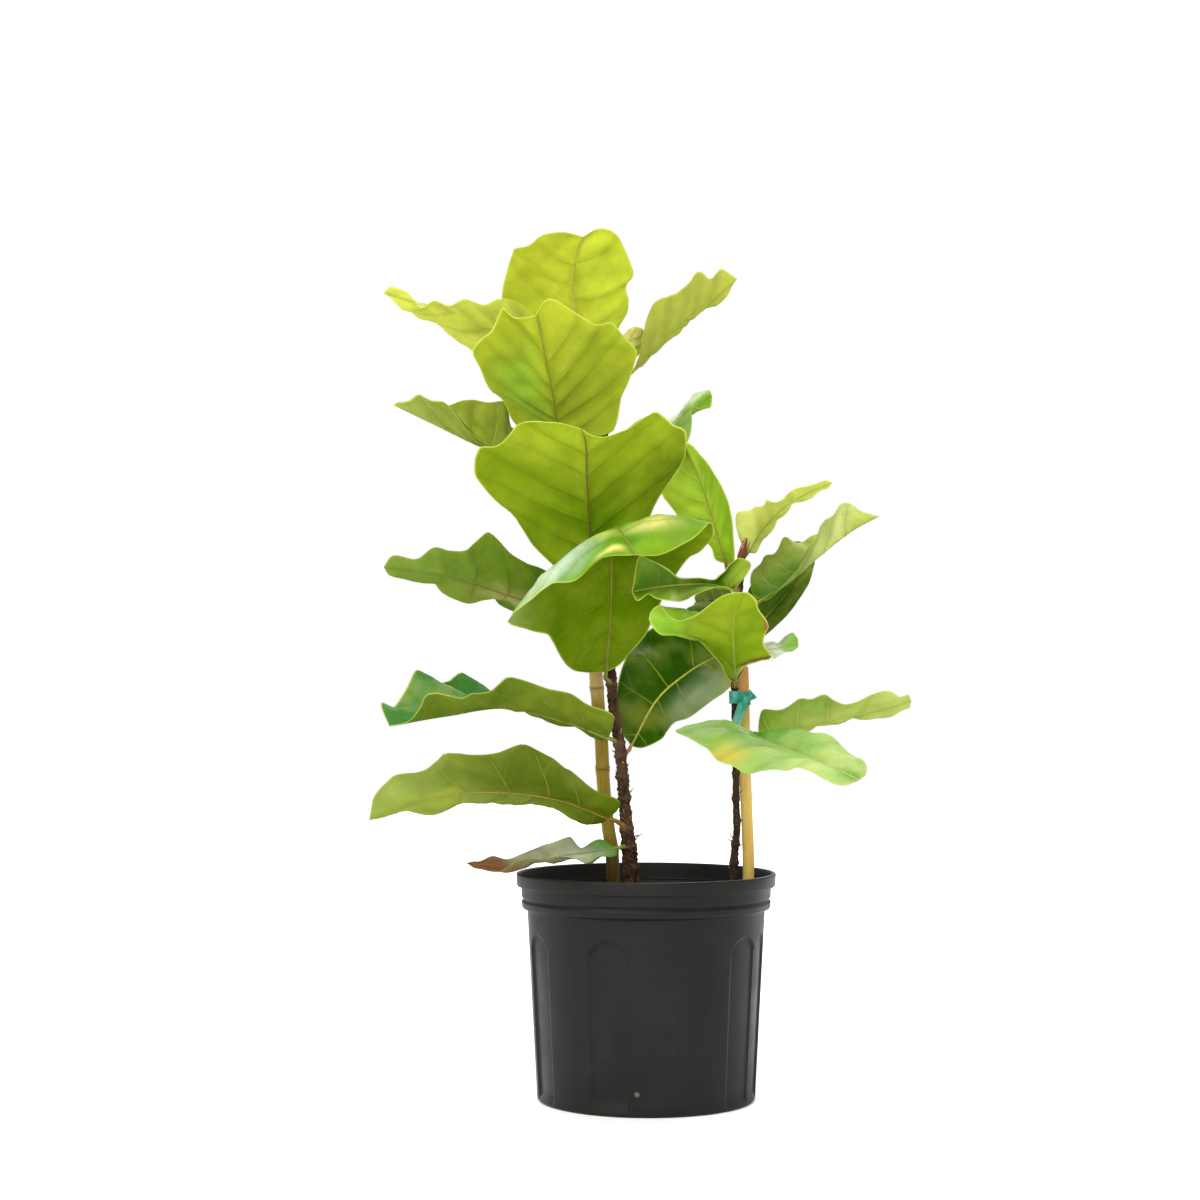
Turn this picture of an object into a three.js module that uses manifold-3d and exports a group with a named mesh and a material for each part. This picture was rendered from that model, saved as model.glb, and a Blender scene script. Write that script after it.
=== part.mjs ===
// A potted fiddle leaf fig: two young woody stems with their large leaves, held to two stakes,
// in a round black nursery pot. Millimetres, +Z up, the origin at the centre of the pot's underside.
import * as THREE from "three";
import { mergeVertices } from "three/addons/utils/BufferGeometryUtils.js";
import Module from "manifold-3d";

const wasm = await Module();
wasm.setup();

// ---- driving dimensions -------------------------------------------------------------------------

const CLEARANCE = 0.3;

const POT = {
  height: 226,
  baseRadius: 108.8,
  shoulder: { z: 189, radius: 118.5 },
  wall: 2.3,
  floor: 3,
  columns: 48,
  rim: { radius: 129.6, inner: 125.6, lipBottom: 213 },
  band: { radius: 124.3, bottom: 202 },
  bead: { radius: 124.5, top: 199, bottom: 192 },
  flute: { depth: 2.8, halfWidth: 11, archTop: 170, archDrop: 16, edge: 4.5 },
  drain: { count: 6, radius: 9 },
};
// Middles of the upright flutes, in degrees from straight ahead towards the right.
const FLUTE_ANGLES = [54, 74, -19.5, -67, 147.5, -165];

const SOIL = { level: 197, roughness: 3.2, columns: 36, rings: 4, chips: 22, chipSize: 7 };

// The leaves, stems and stakes are measured in a front view from EYE: [right, up, depth], where
// right and up are read at the pot's axis, and depth is the distance behind it.
const EYE = { x: -46, z: 408, distance: 2251 };

const STEMS = {
  main: {
    path: [
      [-12, 130, 4], [-15, 224, 2], [-18.5, 262, 0], [-21, 291, 0], [-23.5, 321, 0], [-26, 350, 0],
      [-33, 394, 1], [-35, 430, 2], [-39, 490, 3], [-41, 550, 4], [-42, 620, 5], [-41, 680, 6],
      [-38, 716, 7],
    ],
    sides: 8, steps: 46, foot: 9.2, middle: 5.8, top: 3.2, footHeight: 0.2, roughness: 0.16,
    nodes: [252, 270, 300, 322, 343, 355, 414, 448, 478, 505, 540, 590, 630, 668, 700],
  },
  side: {
    path: [
      [86, 140, 3], [87.5, 221, 0], [89, 250, -1], [91, 269, -2], [90, 299, -2], [90, 328, -2],
      [88.5, 394, -2], [89, 430, 0], [92, 470, 4], [94, 505, 8], [95, 532, 12],
    ],
    sides: 7, steps: 34, foot: 4.6, middle: 3.6, top: 2.4, footHeight: 0.2, roughness: 0.1,
    nodes: [236, 255, 278, 300, 326, 358, 372, 412, 442, 462, 486, 500, 512],
  },
};

const STAKES = {
  left: {
    path: [
      [-30, 62, 38], [-33, 225, 35], [-37.5, 269, 33], [-40.5, 291, 32], [-43, 321, 30],
      [-44.5, 357, 28], [-48, 394, 25], [-50, 423, 23], [-52, 470, 20],
    ],
    width: 13.6, thickness: 13.6, sides: 10, steps: 20, ringSpacing: 82, ringSwell: 0.7,
  },
  right: {
    path: [[101, 90, 9], [102.5, 221, 9], [100.5, 291, 9], [99, 324, 9], [97, 416, 9], [96.6, 431, 9]],
    width: 11.6, thickness: 6.4, sides: 8, steps: 10, ringSpacing: 150, ringSwell: 0.4,
  },
};

// A tie is a band of plastic tape round a stem and its stake, each of which it grips at a radius.
const TIES = {
  right: { z: 400, width: 12.5, thickness: 0.8, stemGrip: 4.5, stakeGrip: 6.5, tailWidth: 10 },
  left: { z: 452, width: 12.5, thickness: 0.8, stemGrip: 7.1, stakeGrip: 7.9, tailWidth: 9 },
};

const BUD = {
  path: [[95, 533.2, 12.2], [94.9, 538, 12], [97.2, 550, 8], [100.5, 560, 5]],
  radius: 3.6, sides: 7, steps: 5,
};

// A leaf holds the height of its node on the stem, its midrib from the blade's base to its tip, and
// its own left and right margins as seen on its upper side with the tip up. Each margin starts at
// the base and ends at the tip. wave is [height, count, phase] of the ripple along the margin.
const LEAVES = {
  leaf_top: {
    stem: "main", node: 700, arch: 0.08, wave: [2, 4.5, 0.1],
    rib: [[-52, 722, 14], [-64, 762, 36], [-74, 806, 54], [-70, 842, 62], [-63, 861, 63]],
    left: [
      [-36, 740, 18], [-28, 768, 30], [-19, 785, 40], [-17, 797, 45], [-20, 812, 50], [-13, 824, 53],
      [-22, 851, 58], [-32, 866, 60], [-47, 871, 62],
    ],
    right: [
      [-92, 728, 24], [-132, 752, 38], [-143, 791, 48], [-143, 812, 52], [-134, 842, 56],
      [-130, 850, 58], [-116, 853, 59], [-102, 864, 61], [-83, 867, 62],
    ],
  },
  leaf_upper_front: {
    stem: "main", node: 640, arch: 0.1, wave: [1.5, 4, 0.3],
    rib: [[-66, 648, -16], [-88, 676, -34], [-93, 702, -50], [-103, 753, -84], [-110, 783, -102]],
    left: [
      [-50, 662, -22], [-32, 668, -32], [-25, 699, -46], [-18, 716, -54], [-11, 738, -66],
      [-10, 749, -72], [-24, 764, -82], [-35, 776, -90], [-50, 774, -94], [-64, 780, -97],
      [-77, 790, -100], [-91, 799, -102], [-101, 797, -102],
    ],
    right: [
      [-104, 658, -26], [-131, 674, -40], [-143, 697, -52], [-157, 709, -60], [-165, 727, -70],
      [-173, 746, -80], [-164, 760, -86], [-154, 767, -92], [-147, 782, -96], [-143, 790, -98],
      [-132, 781, -100], [-122, 780, -101],
    ],
  },
  leaf_middle_front: {
    stem: "main", node: 505, arch: 0.1, wave: [1.5, 4, 0.0],
    rib: [[-52, 514, -26], [-56, 562, -62], [-59, 614, -100], [-60, 652, -132], [-70, 672, -148]],
    left: [
      [-34, 532, -42], [-6, 562, -60], [8, 592, -80], [18, 608, -92], [34, 631, -106],
      [40, 649, -116], [39, 667, -124], [28, 672, -128], [19, 680, -132], [8, 687, -136],
      [-10, 675, -139], [-31, 664, -141], [-44, 661, -143], [-56, 664, -146],
    ],
    right: [
      [-82, 526, -40], [-109, 548, -54], [-132, 580, -74], [-149, 596, -86], [-163, 612, -98],
      [-172, 627, -106], [-167, 649, -116], [-150, 652, -122], [-138, 663, -130],
      [-129, 673, -134], [-115, 675, -138], [-102, 677, -142], [-87, 674, -146],
    ],
  },
  leaf_lower_front: {
    stem: "main", node: 414, arch: 0.1, wave: [2, 4, 0.6],
    rib: [[-40, 426, -14], [-35, 490, -58], [-33, 566, -134], [-22, 562, -174], [-12, 543, -188]],
    left: [
      [-26, 434, -24], [-14, 446, -36], [-2, 462, -50], [10, 486, -64], [24, 512, -80],
      [42, 540, -98], [56, 549, -108], [68, 560, -122], [64, 576, -140], [45, 559, -162],
      [16, 543, -180],
    ],
    right: [
      [-61, 425, -22], [-74, 429, -34], [-84, 440, -48], [-92, 454, -60], [-100, 465, -74],
      [-118, 469, -92], [-137, 475, -112], [-114, 500, -146], [-96, 514, -166], [-72, 516, -178],
      [-44, 540, -184],
    ],
  },
  leaf_left_top: {
    stem: "main", node: 690, arch: -0.08, wave: [2, 5, 0.2],
    rib: [[-56, 706, 6], [-110, 748, 4], [-170, 782, 0], [-225, 795, -6], [-262, 805, -6]],
    left: [
      [-84, 742, -10], [-116, 786, -26], [-144, 799, -36], [-162, 794, -38], [-183, 797, -40],
      [-194, 794, -40], [-210, 796, -38], [-221, 792, -36], [-230, 795, -32], [-241, 806, -26],
      [-254, 812, -16],
    ],
    right: [
      [-74, 702, 26], [-116, 712, 44], [-150, 732, 52], [-174, 746, 50], [-191, 760, 46],
      [-208, 773, 42], [-224, 778, 34], [-236, 788, 26], [-243, 785, 20], [-249, 794, 10],
      [-256, 800, 2],
    ],
  },
  leaf_left_upper: {
    stem: "main", node: 612, arch: -0.06, wave: [2, 4, 0.2],
    rib: [[-66, 622, -14], [-130, 640, -40], [-166, 652, -56], [-208, 672, -74], [-252, 693, -88]],
    left: [
      [-96, 624, -34], [-134, 640, -62], [-159, 654, -82], [-181, 673, -96], [-200, 692, -104],
      [-213, 699, -106], [-226, 704, -104], [-237, 697, -100], [-246, 697, -94],
    ],
    right: [
      [-84, 646, 8], [-112, 664, 16], [-134, 672, 14], [-139, 688, 12], [-144, 697, 6],
      [-162, 696, -2], [-181, 697, -14], [-200, 694, -34], [-230, 696, -66],
    ],
  },
  leaf_left_middle: {
    stem: "main", node: 478, arch: -0.08, wave: [2, 4, 0.2],
    rib: [[-62, 486, -10], [-121, 498, -30], [-170, 514, -44], [-214, 525, -58], [-262, 531, -72]],
    left: [
      [-78, 514, -40], [-103, 530, -60], [-120, 534, -70], [-133, 542, -78], [-145, 558, -84],
      [-155, 564, -88], [-163, 562, -92], [-179, 550, -94], [-195, 548, -96], [-214, 549, -96],
      [-229, 540, -94], [-252, 543, -84],
    ],
    right: [
      [-84, 478, 12], [-124, 492, 16], [-133, 488, 14], [-147, 494, 10], [-155, 502, 6],
      [-166, 498, 2], [-183, 496, -2], [-204, 504, -10], [-215, 518, -18], [-235, 519, -34],
      [-255, 521, -56],
    ],
  },
  leaf_left_low: {
    stem: "main", node: 355, arch: -0.06, wave: [2, 4, 0.2],
    rib: [[-38, 360, -9], [-80, 376, -26], [-140, 390, -40], [-200, 382, -52], [-257, 372, -56]],
    left: [
      [-32, 382, -28], [-57, 394, -42], [-74, 403, -54], [-98, 408, -66], [-121, 419, -78],
      [-137, 422, -84], [-148, 412, -88], [-157, 407, -92], [-174, 408, -94], [-186, 400, -96],
      [-217, 402, -98], [-226, 390, -94], [-238, 376, -84],
    ],
    right: [
      [-52, 360, 8], [-92, 384, 30], [-140, 402, 40], [-170, 417, 36], [-184, 425, 30],
      [-198, 417, 20], [-215, 420, 10], [-229, 426, 2], [-240, 410, -10], [-253, 393, -22],
      [-265, 393, -36],
    ],
  },
  leaf_left_lower: {
    stem: "main", node: 270, arch: -0.1, wave: [2, 4.5, 0.2],
    rib: [[-38, 280, -16], [-86, 298, -40], [-146, 306, -58], [-206, 302, -72], [-277, 278, -80]],
    left: [
      [-26, 296, -34], [-51, 309, -50], [-72, 324, -66], [-82, 329, -72], [-92, 340, -82],
      [-110, 350, -90], [-124, 352, -98], [-143, 347, -104], [-166, 345, -108], [-198, 345, -112],
      [-208, 336, -114], [-223, 328, -114], [-249, 325, -110], [-257, 317, -106], [-272, 300, -94],
    ],
    right: [
      [-48, 275, 2], [-72, 276, 14], [-90, 289, 18], [-112, 302, 14], [-130, 300, 10],
      [-155, 300, 6], [-168, 301, 2], [-194, 296, -10], [-206, 293, -18], [-219, 284, -30],
      [-243, 286, -46], [-260, 281, -60],
    ],
  },
  leaf_lowest: {
    stem: "main", node: 252, arch: -0.12, wave: [2.5, 5, 0.2],
    rib: [[-30, 250, -11], [-62, 245, -24], [-98, 241, -34], [-140, 233, -44], [-180, 235, -50]],
    left: [
      [-30, 244, -24], [-44, 240, -38], [-56, 237, -50], [-70, 239, -58], [-94, 241, -66],
      [-112, 239, -70], [-133, 233, -72], [-150, 229, -70], [-164, 228, -66], [-172, 231, -58],
    ],
    right: [
      [-42, 258, 10], [-56, 254, 18], [-68, 253, 22], [-78, 259, 26], [-96, 256, 28],
      [-112, 246, 26], [-136, 243, 14], [-146, 239, 6], [-158, 242, -4], [-168, 236, -20],
    ],
  },
  leaf_right_top: {
    stem: "main", node: 694, arch: -0.1, wave: [2, 4, 0.2],
    rib: [[-12, 728, 8], [12, 752, 6], [38, 777, 0], [64, 796, -6], [91, 819, -14]],
    left: [
      [0, 738, 24], [15, 757, 34], [32, 773, 40], [44, 785, 38], [53, 788, 32], [60, 795, 26],
      [70, 799, 20], [78, 799, 12], [84, 810, 0],
    ],
    right: [
      [-6, 748, -10], [-1, 770, -20], [7, 793, -28], [14, 801, -31], [22, 801, -34],
      [31, 804, -34], [41, 815, -34], [50, 824, -34], [57, 824, -32], [64, 820, -30],
      [74, 829, -24], [85, 823, -18],
    ],
  },
  leaf_top_young: {
    stem: "main", node: 714, arch: -0.15, wave: [0.8, 3, 0.2],
    rib: [[-32, 726, 16], [-26, 738, 19], [-19, 752, 21], [-13, 763, 21], [-9, 771, 19]],
    left: [
      [-22, 730, 24], [-12, 738, 28], [-5, 746, 29], [-1, 756, 28], [0, 762, 26], [-2, 767, 23],
      [-5, 770, 20],
    ],
    right: [
      [-35, 734, 23], [-33, 744, 28], [-29, 754, 30], [-25, 761, 30], [-20, 766, 27],
      [-17, 769, 24], [-13, 771, 21],
    ],
  },
  leaf_right_back: {
    stem: "main", node: 590, arch: 0.08, wave: [3, 3, 0.2],
    rib: [[-32, 606, 18], [-6, 628, 42], [26, 662, 62], [46, 686, 72], [66, 701, 80]],
    left: [
      [-20, 630, 48], [0, 656, 70], [22, 676, 84], [34, 688, 88], [44, 698, 90], [54, 706, 89],
      [63, 709, 85],
    ],
    right: [
      [-12, 610, 16], [18, 628, 32], [38, 654, 46], [46, 674, 54], [48, 690, 62], [56, 691, 70],
      [64, 690, 76],
    ],
  },
  leaf_between: {
    stem: "main", node: 343, arch: 0.1, wave: [3, 3, 0.2],
    rib: [[-15, 352, 14], [10, 397, 58], [37, 422, 90], [63, 438, 118], [90, 448, 140]],
    left: [
      [-24, 366, 18], [-30, 398, 42], [-24, 432, 72], [-4, 462, 100], [26, 482, 124],
      [56, 484, 140], [80, 470, 146],
    ],
    right: [
      [-2, 351, 24], [14, 358, 44], [20, 366, 56], [30, 377, 70], [44, 381, 82], [64, 396, 98],
      [82, 409, 112], [98, 426, 128], [100, 442, 138],
    ],
  },
  leaf_back_middle: {
    stem: "main", node: 490, arch: 0.12, wave: [5, 3.5, 0.4],
    rib: [[-44, 500, 20], [-52, 530, 72], [-58, 552, 128], [-62, 562, 190], [-62, 556, 236]],
    left: [
      [-66, 506, 36], [-88, 528, 74], [-98, 556, 118], [-102, 574, 158], [-98, 580, 196],
      [-86, 574, 222], [-72, 562, 236],
    ],
    right: [
      [-26, 506, 36], [-16, 530, 74], [-14, 560, 118], [-14, 576, 158], [-20, 580, 196],
      [-34, 574, 222], [-50, 562, 236],
    ],
  },
  leaf_back_top: {
    stem: "main", node: 668, arch: 0.12, wave: [4, 3.5, 0.1],
    rib: [[-46, 690, 20], [-58, 716, 58], [-68, 738, 100], [-76, 752, 142], [-80, 756, 172]],
    left: [
      [-70, 696, 30], [-94, 716, 56], [-110, 740, 92], [-116, 756, 124], [-114, 764, 150],
      [-104, 764, 166], [-90, 760, 174],
    ],
    right: [
      [-36, 696, 34], [-28, 714, 62], [-28, 738, 96], [-32, 756, 128], [-42, 764, 152],
      [-56, 764, 168], [-70, 760, 174],
    ],
  },
  side_leaf_up_left: {
    stem: "side", node: 507, arch: 0.1, wave: [2, 4, 0.2],
    rib: [[80, 534, 10], [73, 558, 13], [65, 584, 15], [54, 616, 15], [38, 656, 14]],
    left: [
      [88, 534, 5], [88, 558, 2], [85, 586, 3], [78, 608, 7], [67, 626, 9], [55, 643, 11],
      [46, 653, 13],
    ],
    right: [
      [69, 539, 9], [64, 552, 7], [44, 572, 9], [36, 579, 9], [24, 592, 9], [14, 608, 9],
      [10, 626, 9], [14, 648, 11], [28, 658, 13],
    ],
  },
  side_leaf_up_right: {
    stem: "side", node: 516, arch: -0.08, wave: [2, 5, 0.2],
    rib: [[102, 546, 22], [114, 566, 23], [136, 589, 17], [160, 605, 10], [186, 615, 2]],
    left: [
      [110, 546, 28], [119, 560, 38], [131, 575, 42], [141, 588, 38], [152, 597, 30],
      [168, 602, 20], [181, 610, 8],
    ],
    right: [
      [94, 558, 16], [90, 584, 14], [105, 588, 8], [113, 592, 3], [120, 597, 0], [128, 596, -2],
      [142, 604, -6], [158, 612, -8], [178, 617, -4],
    ],
  },
  side_leaf_right: {
    stem: "side", node: 484, arch: -0.06, wave: [2, 5, 0.3],
    rib: [[112, 496, 0], [142, 516, -14], [172, 541, -30], [204, 566, -44], [233, 582, -54]],
    left: [
      [105, 508, 14], [107, 526, 28], [117, 539, 36], [127, 543, 36], [138, 559, 34],
      [150, 556, 26], [167, 561, 8], [204, 575, -26],
    ],
    right: [
      [126, 501, -18], [146, 523, -42], [162, 546, -60], [167, 560, -68], [176, 572, -74],
      [184, 583, -78], [195, 592, -78], [205, 595, -76], [218, 585, -68],
    ],
  },
  side_leaf_right_back: {
    stem: "side", node: 438, arch: 0.1, wave: [3, 3, 0.1],
    rib: [[98, 454, 24], [116, 476, 44], [138, 501, 64], [156, 526, 82], [164, 545, 92]],
    left: [
      [95, 472, 32], [98, 492, 48], [106, 516, 66], [122, 538, 80], [140, 552, 90],
      [152, 555, 95], [160, 552, 95],
    ],
    right: [
      [112, 458, 34], [128, 470, 48], [144, 486, 62], [158, 506, 74], [165, 524, 84],
      [169, 535, 89], [168, 542, 92],
    ],
  },
  side_leaf_left: {
    stem: "side", node: 500, arch: -0.12, wave: [2, 4, 0.1],
    rib: [[88, 508, -10], [62, 514, -62], [32, 513, -108], [6, 510, -128], [-14, 506, -142]],
    left: [
      [98, 502, -24], [80, 510, -62], [58, 508, -92], [36, 497, -118], [16, 499, -134],
      [2, 504, -142], [-8, 498, -148],
    ],
    right: [
      [106, 532, -6], [92, 539, -14], [80, 527, -30], [66, 518, -56], [50, 520, -84],
      [34, 521, -112], [20, 529, -120], [6, 538, -126], [-7, 541, -132],
    ],
  },
  side_leaf_front: {
    stem: "side", node: 412, arch: 0.12, wave: [1.5, 4, 0.5],
    rib: [[90, 414, -12], [88, 440, -50], [87, 466, -86], [90, 490, -114], [97, 506, -128]],
    left: [
      [104, 436, -24], [123, 438, -36], [124, 444, -42], [118, 453, -54], [120, 466, -66],
      [122, 474, -78], [113, 488, -96], [110, 498, -112], [104, 504, -122],
    ],
    right: [
      [82, 420, -26], [75, 433, -38], [64, 448, -56], [49, 460, -76], [26, 461, -98],
      [13, 465, -108], [4, 480, -116], [14, 492, -122], [22, 482, -124], [37, 477, -126],
      [60, 489, -129], [80, 503, -131],
    ],
  },
  side_leaf_right_small: {
    stem: "side", node: 452, arch: -0.1, wave: [1, 3, 0.2],
    rib: [[112, 450, 10], [120, 449, 26], [130, 450, 38], [141, 453, 47], [152, 456, 53]],
    left: [
      [113, 454, 22], [118, 455, 36], [126, 456, 48], [133, 456, 56], [140, 462, 60],
      [147, 465, 61], [151, 461, 58],
    ],
    right: [
      [116, 441, 12], [123, 437, 22], [129, 440, 30], [136, 444, 36], [142, 446, 41],
      [148, 448, 46], [152, 451, 50],
    ],
  },
  side_leaf_left_back: {
    stem: "side", node: 462, arch: 0.1, wave: [3, 3, 0.1],
    rib: [[90, 480, 22], [80, 488, 46], [68, 494, 70], [58, 496, 86], [50, 496, 98]],
    left: [
      [82, 470, 32], [68, 469, 50], [54, 472, 68], [46, 478, 80], [43, 484, 89], [43, 489, 95],
      [46, 493, 98],
    ],
    right: [
      [92, 496, 32], [84, 508, 50], [74, 514, 68], [66, 514, 80], [60, 512, 90], [54, 508, 96],
      [50, 502, 99],
    ],
  },
  side_leaf_low_right: {
    stem: "side", node: 358, arch: -0.08, wave: [2, 5, 0.2],
    rib: [[114, 363, -6], [150, 368, 4], [190, 379, 4], [230, 387, -2], [266, 397, -8]],
    left: [
      [122, 357, 12], [146, 362, 34], [172, 373, 40], [200, 381, 34], [224, 382, 22],
      [248, 384, 8], [262, 391, -2],
    ],
    right: [
      [112, 370, -14], [116, 386, -22], [126, 389, -26], [139, 391, -30], [155, 398, -34],
      [165, 400, -36], [177, 403, -38], [190, 396, -38], [204, 396, -36], [229, 403, -30],
      [244, 406, -24], [254, 402, -20], [262, 403, -14],
    ],
  },
  side_leaf_low_front: {
    stem: "side", node: 372, arch: 0.1, wave: [2, 4, 0.3],
    rib: [[104, 366, -20], [130, 353, -60], [160, 341, -100], [190, 329, -136], [214, 318, -160]],
    left: [
      [124, 365, -26], [150, 368, -46], [165, 366, -60], [180, 362, -72], [195, 353, -96],
      [208, 342, -122], [220, 333, -142], [219, 324, -154],
    ],
    right: [
      [90, 367, -22], [74, 371, -30], [54, 372, -40], [30, 369, -56], [42, 362, -76],
      [59, 349, -96], [72, 337, -108], [88, 334, -118], [101, 326, -128], [124, 327, -138],
      [141, 326, -144], [150, 332, -148], [162, 329, -152], [177, 319, -156], [195, 312, -160],
    ],
  },
};

const BLADE = {
  rows: 14,
  columns: [-1, -0.55, 0, 0.55, 1],
  thickness: 1.0,
  ridge: 1.2,
  lateralPull: 1.3,
  veinBow: 0.07,
};
const PETIOLE = { sides: 5, steps: 3, foot: 3.0, top: 2.0, sunk: 0.06 };

const COLOURS = {
  pot: 0x1c1d1f, soil: 0x2e231b, mainBark: 0x4a3a33, sideBark: 0x3a332d, bamboo: 0xc3a56a,
  slat: 0xd0b27c, tie: 0x1f8f78, bud: 0x7a4630,
  lime: 0xb4c92f, olive: 0x86a31f, deep: 0x2f7a26, pale: 0xa9cc63, dry: 0xa59a78,
};
const LEAF_COLOURS = {
  leaf_top: "lime", leaf_upper_front: "lime", leaf_left_top: "lime", leaf_right_top: "lime",
  leaf_top_young: "lime", leaf_back_top: "lime", leaf_between: "deep", leaf_right_back: "deep",
  side_leaf_right_back: "deep", side_leaf_left_back: "deep", side_leaf_up_right: "pale",
  side_leaf_front: "pale", side_leaf_right_small: "pale", side_leaf_low_right: "pale",
  side_leaf_low_front: "pale", leaf_lowest: "dry",
};

// ---- helpers ------------------------------------------------------------------------------------

// Moves a measured point along its line of sight to its own depth.
function seen([right, up, depth]) {
  const spread = 1 + depth / EYE.distance;
  return new THREE.Vector3(EYE.x + (right - EYE.x) * spread, depth, EYE.z + (up - EYE.z) * spread);
}

function curveThrough(points) {
  return new THREE.CatmullRomCurve3(points.map(seen), false, "catmullrom", 0.5);
}

// A seeded draw, evenly spread over 0 to 1.
function draws(seed) {
  let state = seed;
  return () => {
    state = (Math.imul(state, 1664525) + 1013904223) >>> 0;
    return state / 4294967296;
  };
}

// Shares vertices that coincide and drops the faces that this leaves without an area.
function welded(geometry) {
  geometry.deleteAttribute("normal");
  geometry.deleteAttribute("uv");
  const merged = mergeVertices(geometry, 1e-3);
  const index = merged.getIndex().array;
  const kept = [];
  for (let i = 0; i < index.length; i += 3) {
    const [a, b, c] = [index[i], index[i + 1], index[i + 2]];
    if (a !== b && b !== c && c !== a) kept.push(a, b, c);
  }
  merged.setIndex(kept);
  return merged;
}

function solidOf(geometry) {
  const mesh = welded(geometry);
  return new wasm.Manifold(new wasm.Mesh({
    numProp: 3,
    vertProperties: new Float32Array(mesh.getAttribute("position").array),
    triVerts: new Uint32Array(mesh.getIndex().array),
  }));
}

function geometryOf(solid) {
  const { vertProperties, triVerts, numProp } = solid.getMesh();
  const positions = new Float32Array((vertProperties.length / numProp) * 3);
  for (let i = 0; i < positions.length / 3; i += 1) {
    for (let k = 0; k < 3; k += 1) positions[i * 3 + k] = vertProperties[i * numProp + k];
  }
  const geometry = new THREE.BufferGeometry();
  geometry.setAttribute("position", new THREE.BufferAttribute(positions, 3));
  geometry.setIndex([...triVerts]);
  geometry.computeVertexNormals();
  return geometry;
}

// The largest of a solid's bodies: a cut can leave loose scraps beside it.
function largest(solid) {
  return solid.decompose().reduce((best, body) => (body.volume() > best.volume() ? body : best));
}

function named(name, solid, colour, roughness) {
  const material = new THREE.MeshStandardMaterial({ color: colour, roughness, metalness: 0 });
  const mesh = new THREE.Mesh(geometryOf(solid), material);
  mesh.name = name;
  return mesh;
}

// A closed rod along a curve. radius(v, angle) gives its half width at the share v of its length;
// the angle is 0 towards the viewer's right and a quarter turn towards the back. beyond is how far
// the rod runs past both ends of the curve.
function rod(curve, radius, sides, steps, beyond = 0) {
  const geometry = new THREE.CylinderGeometry(1, 1, 1, sides, steps);
  const position = geometry.getAttribute("position");
  for (let i = 0; i < position.count; i += 1) {
    const [x, z] = [position.getX(i), position.getZ(i)];
    const v = THREE.MathUtils.clamp(position.getY(i) + 0.5, 0, 1);
    const along = curve.getTangent(v);
    const past = v < 1e-6 ? -beyond : v > 1 - 1e-6 ? beyond : 0;
    const centre = curve.getPoint(v).addScaledVector(along, past);
    const helper = Math.abs(along.y) > 0.9 ? new THREE.Vector3(1, 0, 0) : new THREE.Vector3(0, 1, 0);
    const side = new THREE.Vector3().crossVectors(helper, along).normalize();
    const back = new THREE.Vector3().crossVectors(along, side);
    const reach = Math.hypot(x, z) < 1e-6 ? 0 : radius(v, Math.atan2(-z, x));
    centre.addScaledVector(side, x * reach).addScaledVector(back, -z * reach);
    position.setXYZ(i, centre.x, centre.y, centre.z);
  }
  return geometry;
}

// ---- pot and soil -------------------------------------------------------------------------------

function potRadius(z) {
  return THREE.MathUtils.mapLinear(z, 0, POT.shoulder.z, POT.baseRadius, POT.shoulder.radius);
}

// How far the wall is pressed in at an angle and height: upright flutes with round-arched tops.
function fluteDepth(degrees, z) {
  const { depth, halfWidth, archTop, archDrop, edge } = POT.flute;
  let deepest = 0;
  for (const middle of FLUTE_ANGLES) {
    const off = Math.abs(THREE.MathUtils.euclideanModulo(degrees - middle + 180, 360) - 180);
    const inside = 1 - THREE.MathUtils.smoothstep(off, halfWidth - edge, halfWidth);
    const top = archTop - archDrop * (off / halfWidth) ** 2;
    const below = 1 - THREE.MathUtils.smoothstep(z, top - 8, top);
    deepest = Math.max(deepest, depth * inside * below);
  }
  return deepest;
}

function potProfile() {
  const { rim, band, bead, shoulder, wall, floor, height, flute } = POT;
  const bodyHeights = [4, 70, 130, 150, 160, 166, 172];
  const deepWall = wall + flute.depth;
  return [
    [0, 0], [potRadius(0) - 4, 0], ...bodyHeights.map((z) => [potRadius(z), z]),
    [shoulder.radius, shoulder.z], [bead.radius - 0.6, bead.bottom], [bead.radius, bead.top - 2],
    [bead.radius - 2.4, bead.top + 1], [band.radius, band.bottom + 1.5], [band.radius + 0.4, rim.lipBottom - 1],
    [rim.radius - 1, rim.lipBottom + 0.5], [rim.radius, height - 4], [rim.radius - 1.6, height],
    [rim.inner, height - 1], [band.radius - wall, rim.lipBottom - 6], [shoulder.radius - wall, shoulder.z],
    [potRadius(176) - deepWall, 176], [potRadius(floor) - deepWall, floor], [0, floor],
  ].map(([r, z]) => new THREE.Vector2(r, z));
}

function potSolid() {
  const geometry = new THREE.LatheGeometry(potProfile(), POT.columns);
  geometry.rotateX(Math.PI / 2);
  const position = geometry.getAttribute("position");
  for (let i = 0; i < position.count; i += 1) {
    const [x, y, z] = [position.getX(i), position.getY(i), position.getZ(i)];
    const radius = Math.hypot(x, y);
    if (radius < potRadius(z) - 1 || z > POT.flute.archTop + 4) continue;
    const degrees = THREE.MathUtils.radToDeg(Math.atan2(x, -y));
    const scale = (radius - fluteDepth(degrees, z)) / radius;
    position.setXYZ(i, x * scale, y * scale, z);
  }
  let pot = solidOf(outward(geometry));
  for (let k = 0; k < POT.drain.count; k += 1) {
    const angle = ((k + 0.5) / POT.drain.count) * 2 * Math.PI;
    const hole = new THREE.CylinderGeometry(POT.drain.radius, POT.drain.radius, 16, 12);
    hole.rotateX(Math.PI / 2);
    hole.translate(Math.cos(angle) * (POT.baseRadius - 14), Math.sin(angle) * (POT.baseRadius - 14), 0);
    pot = pot.subtract(solidOf(hole));
  }
  return pot;
}

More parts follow.
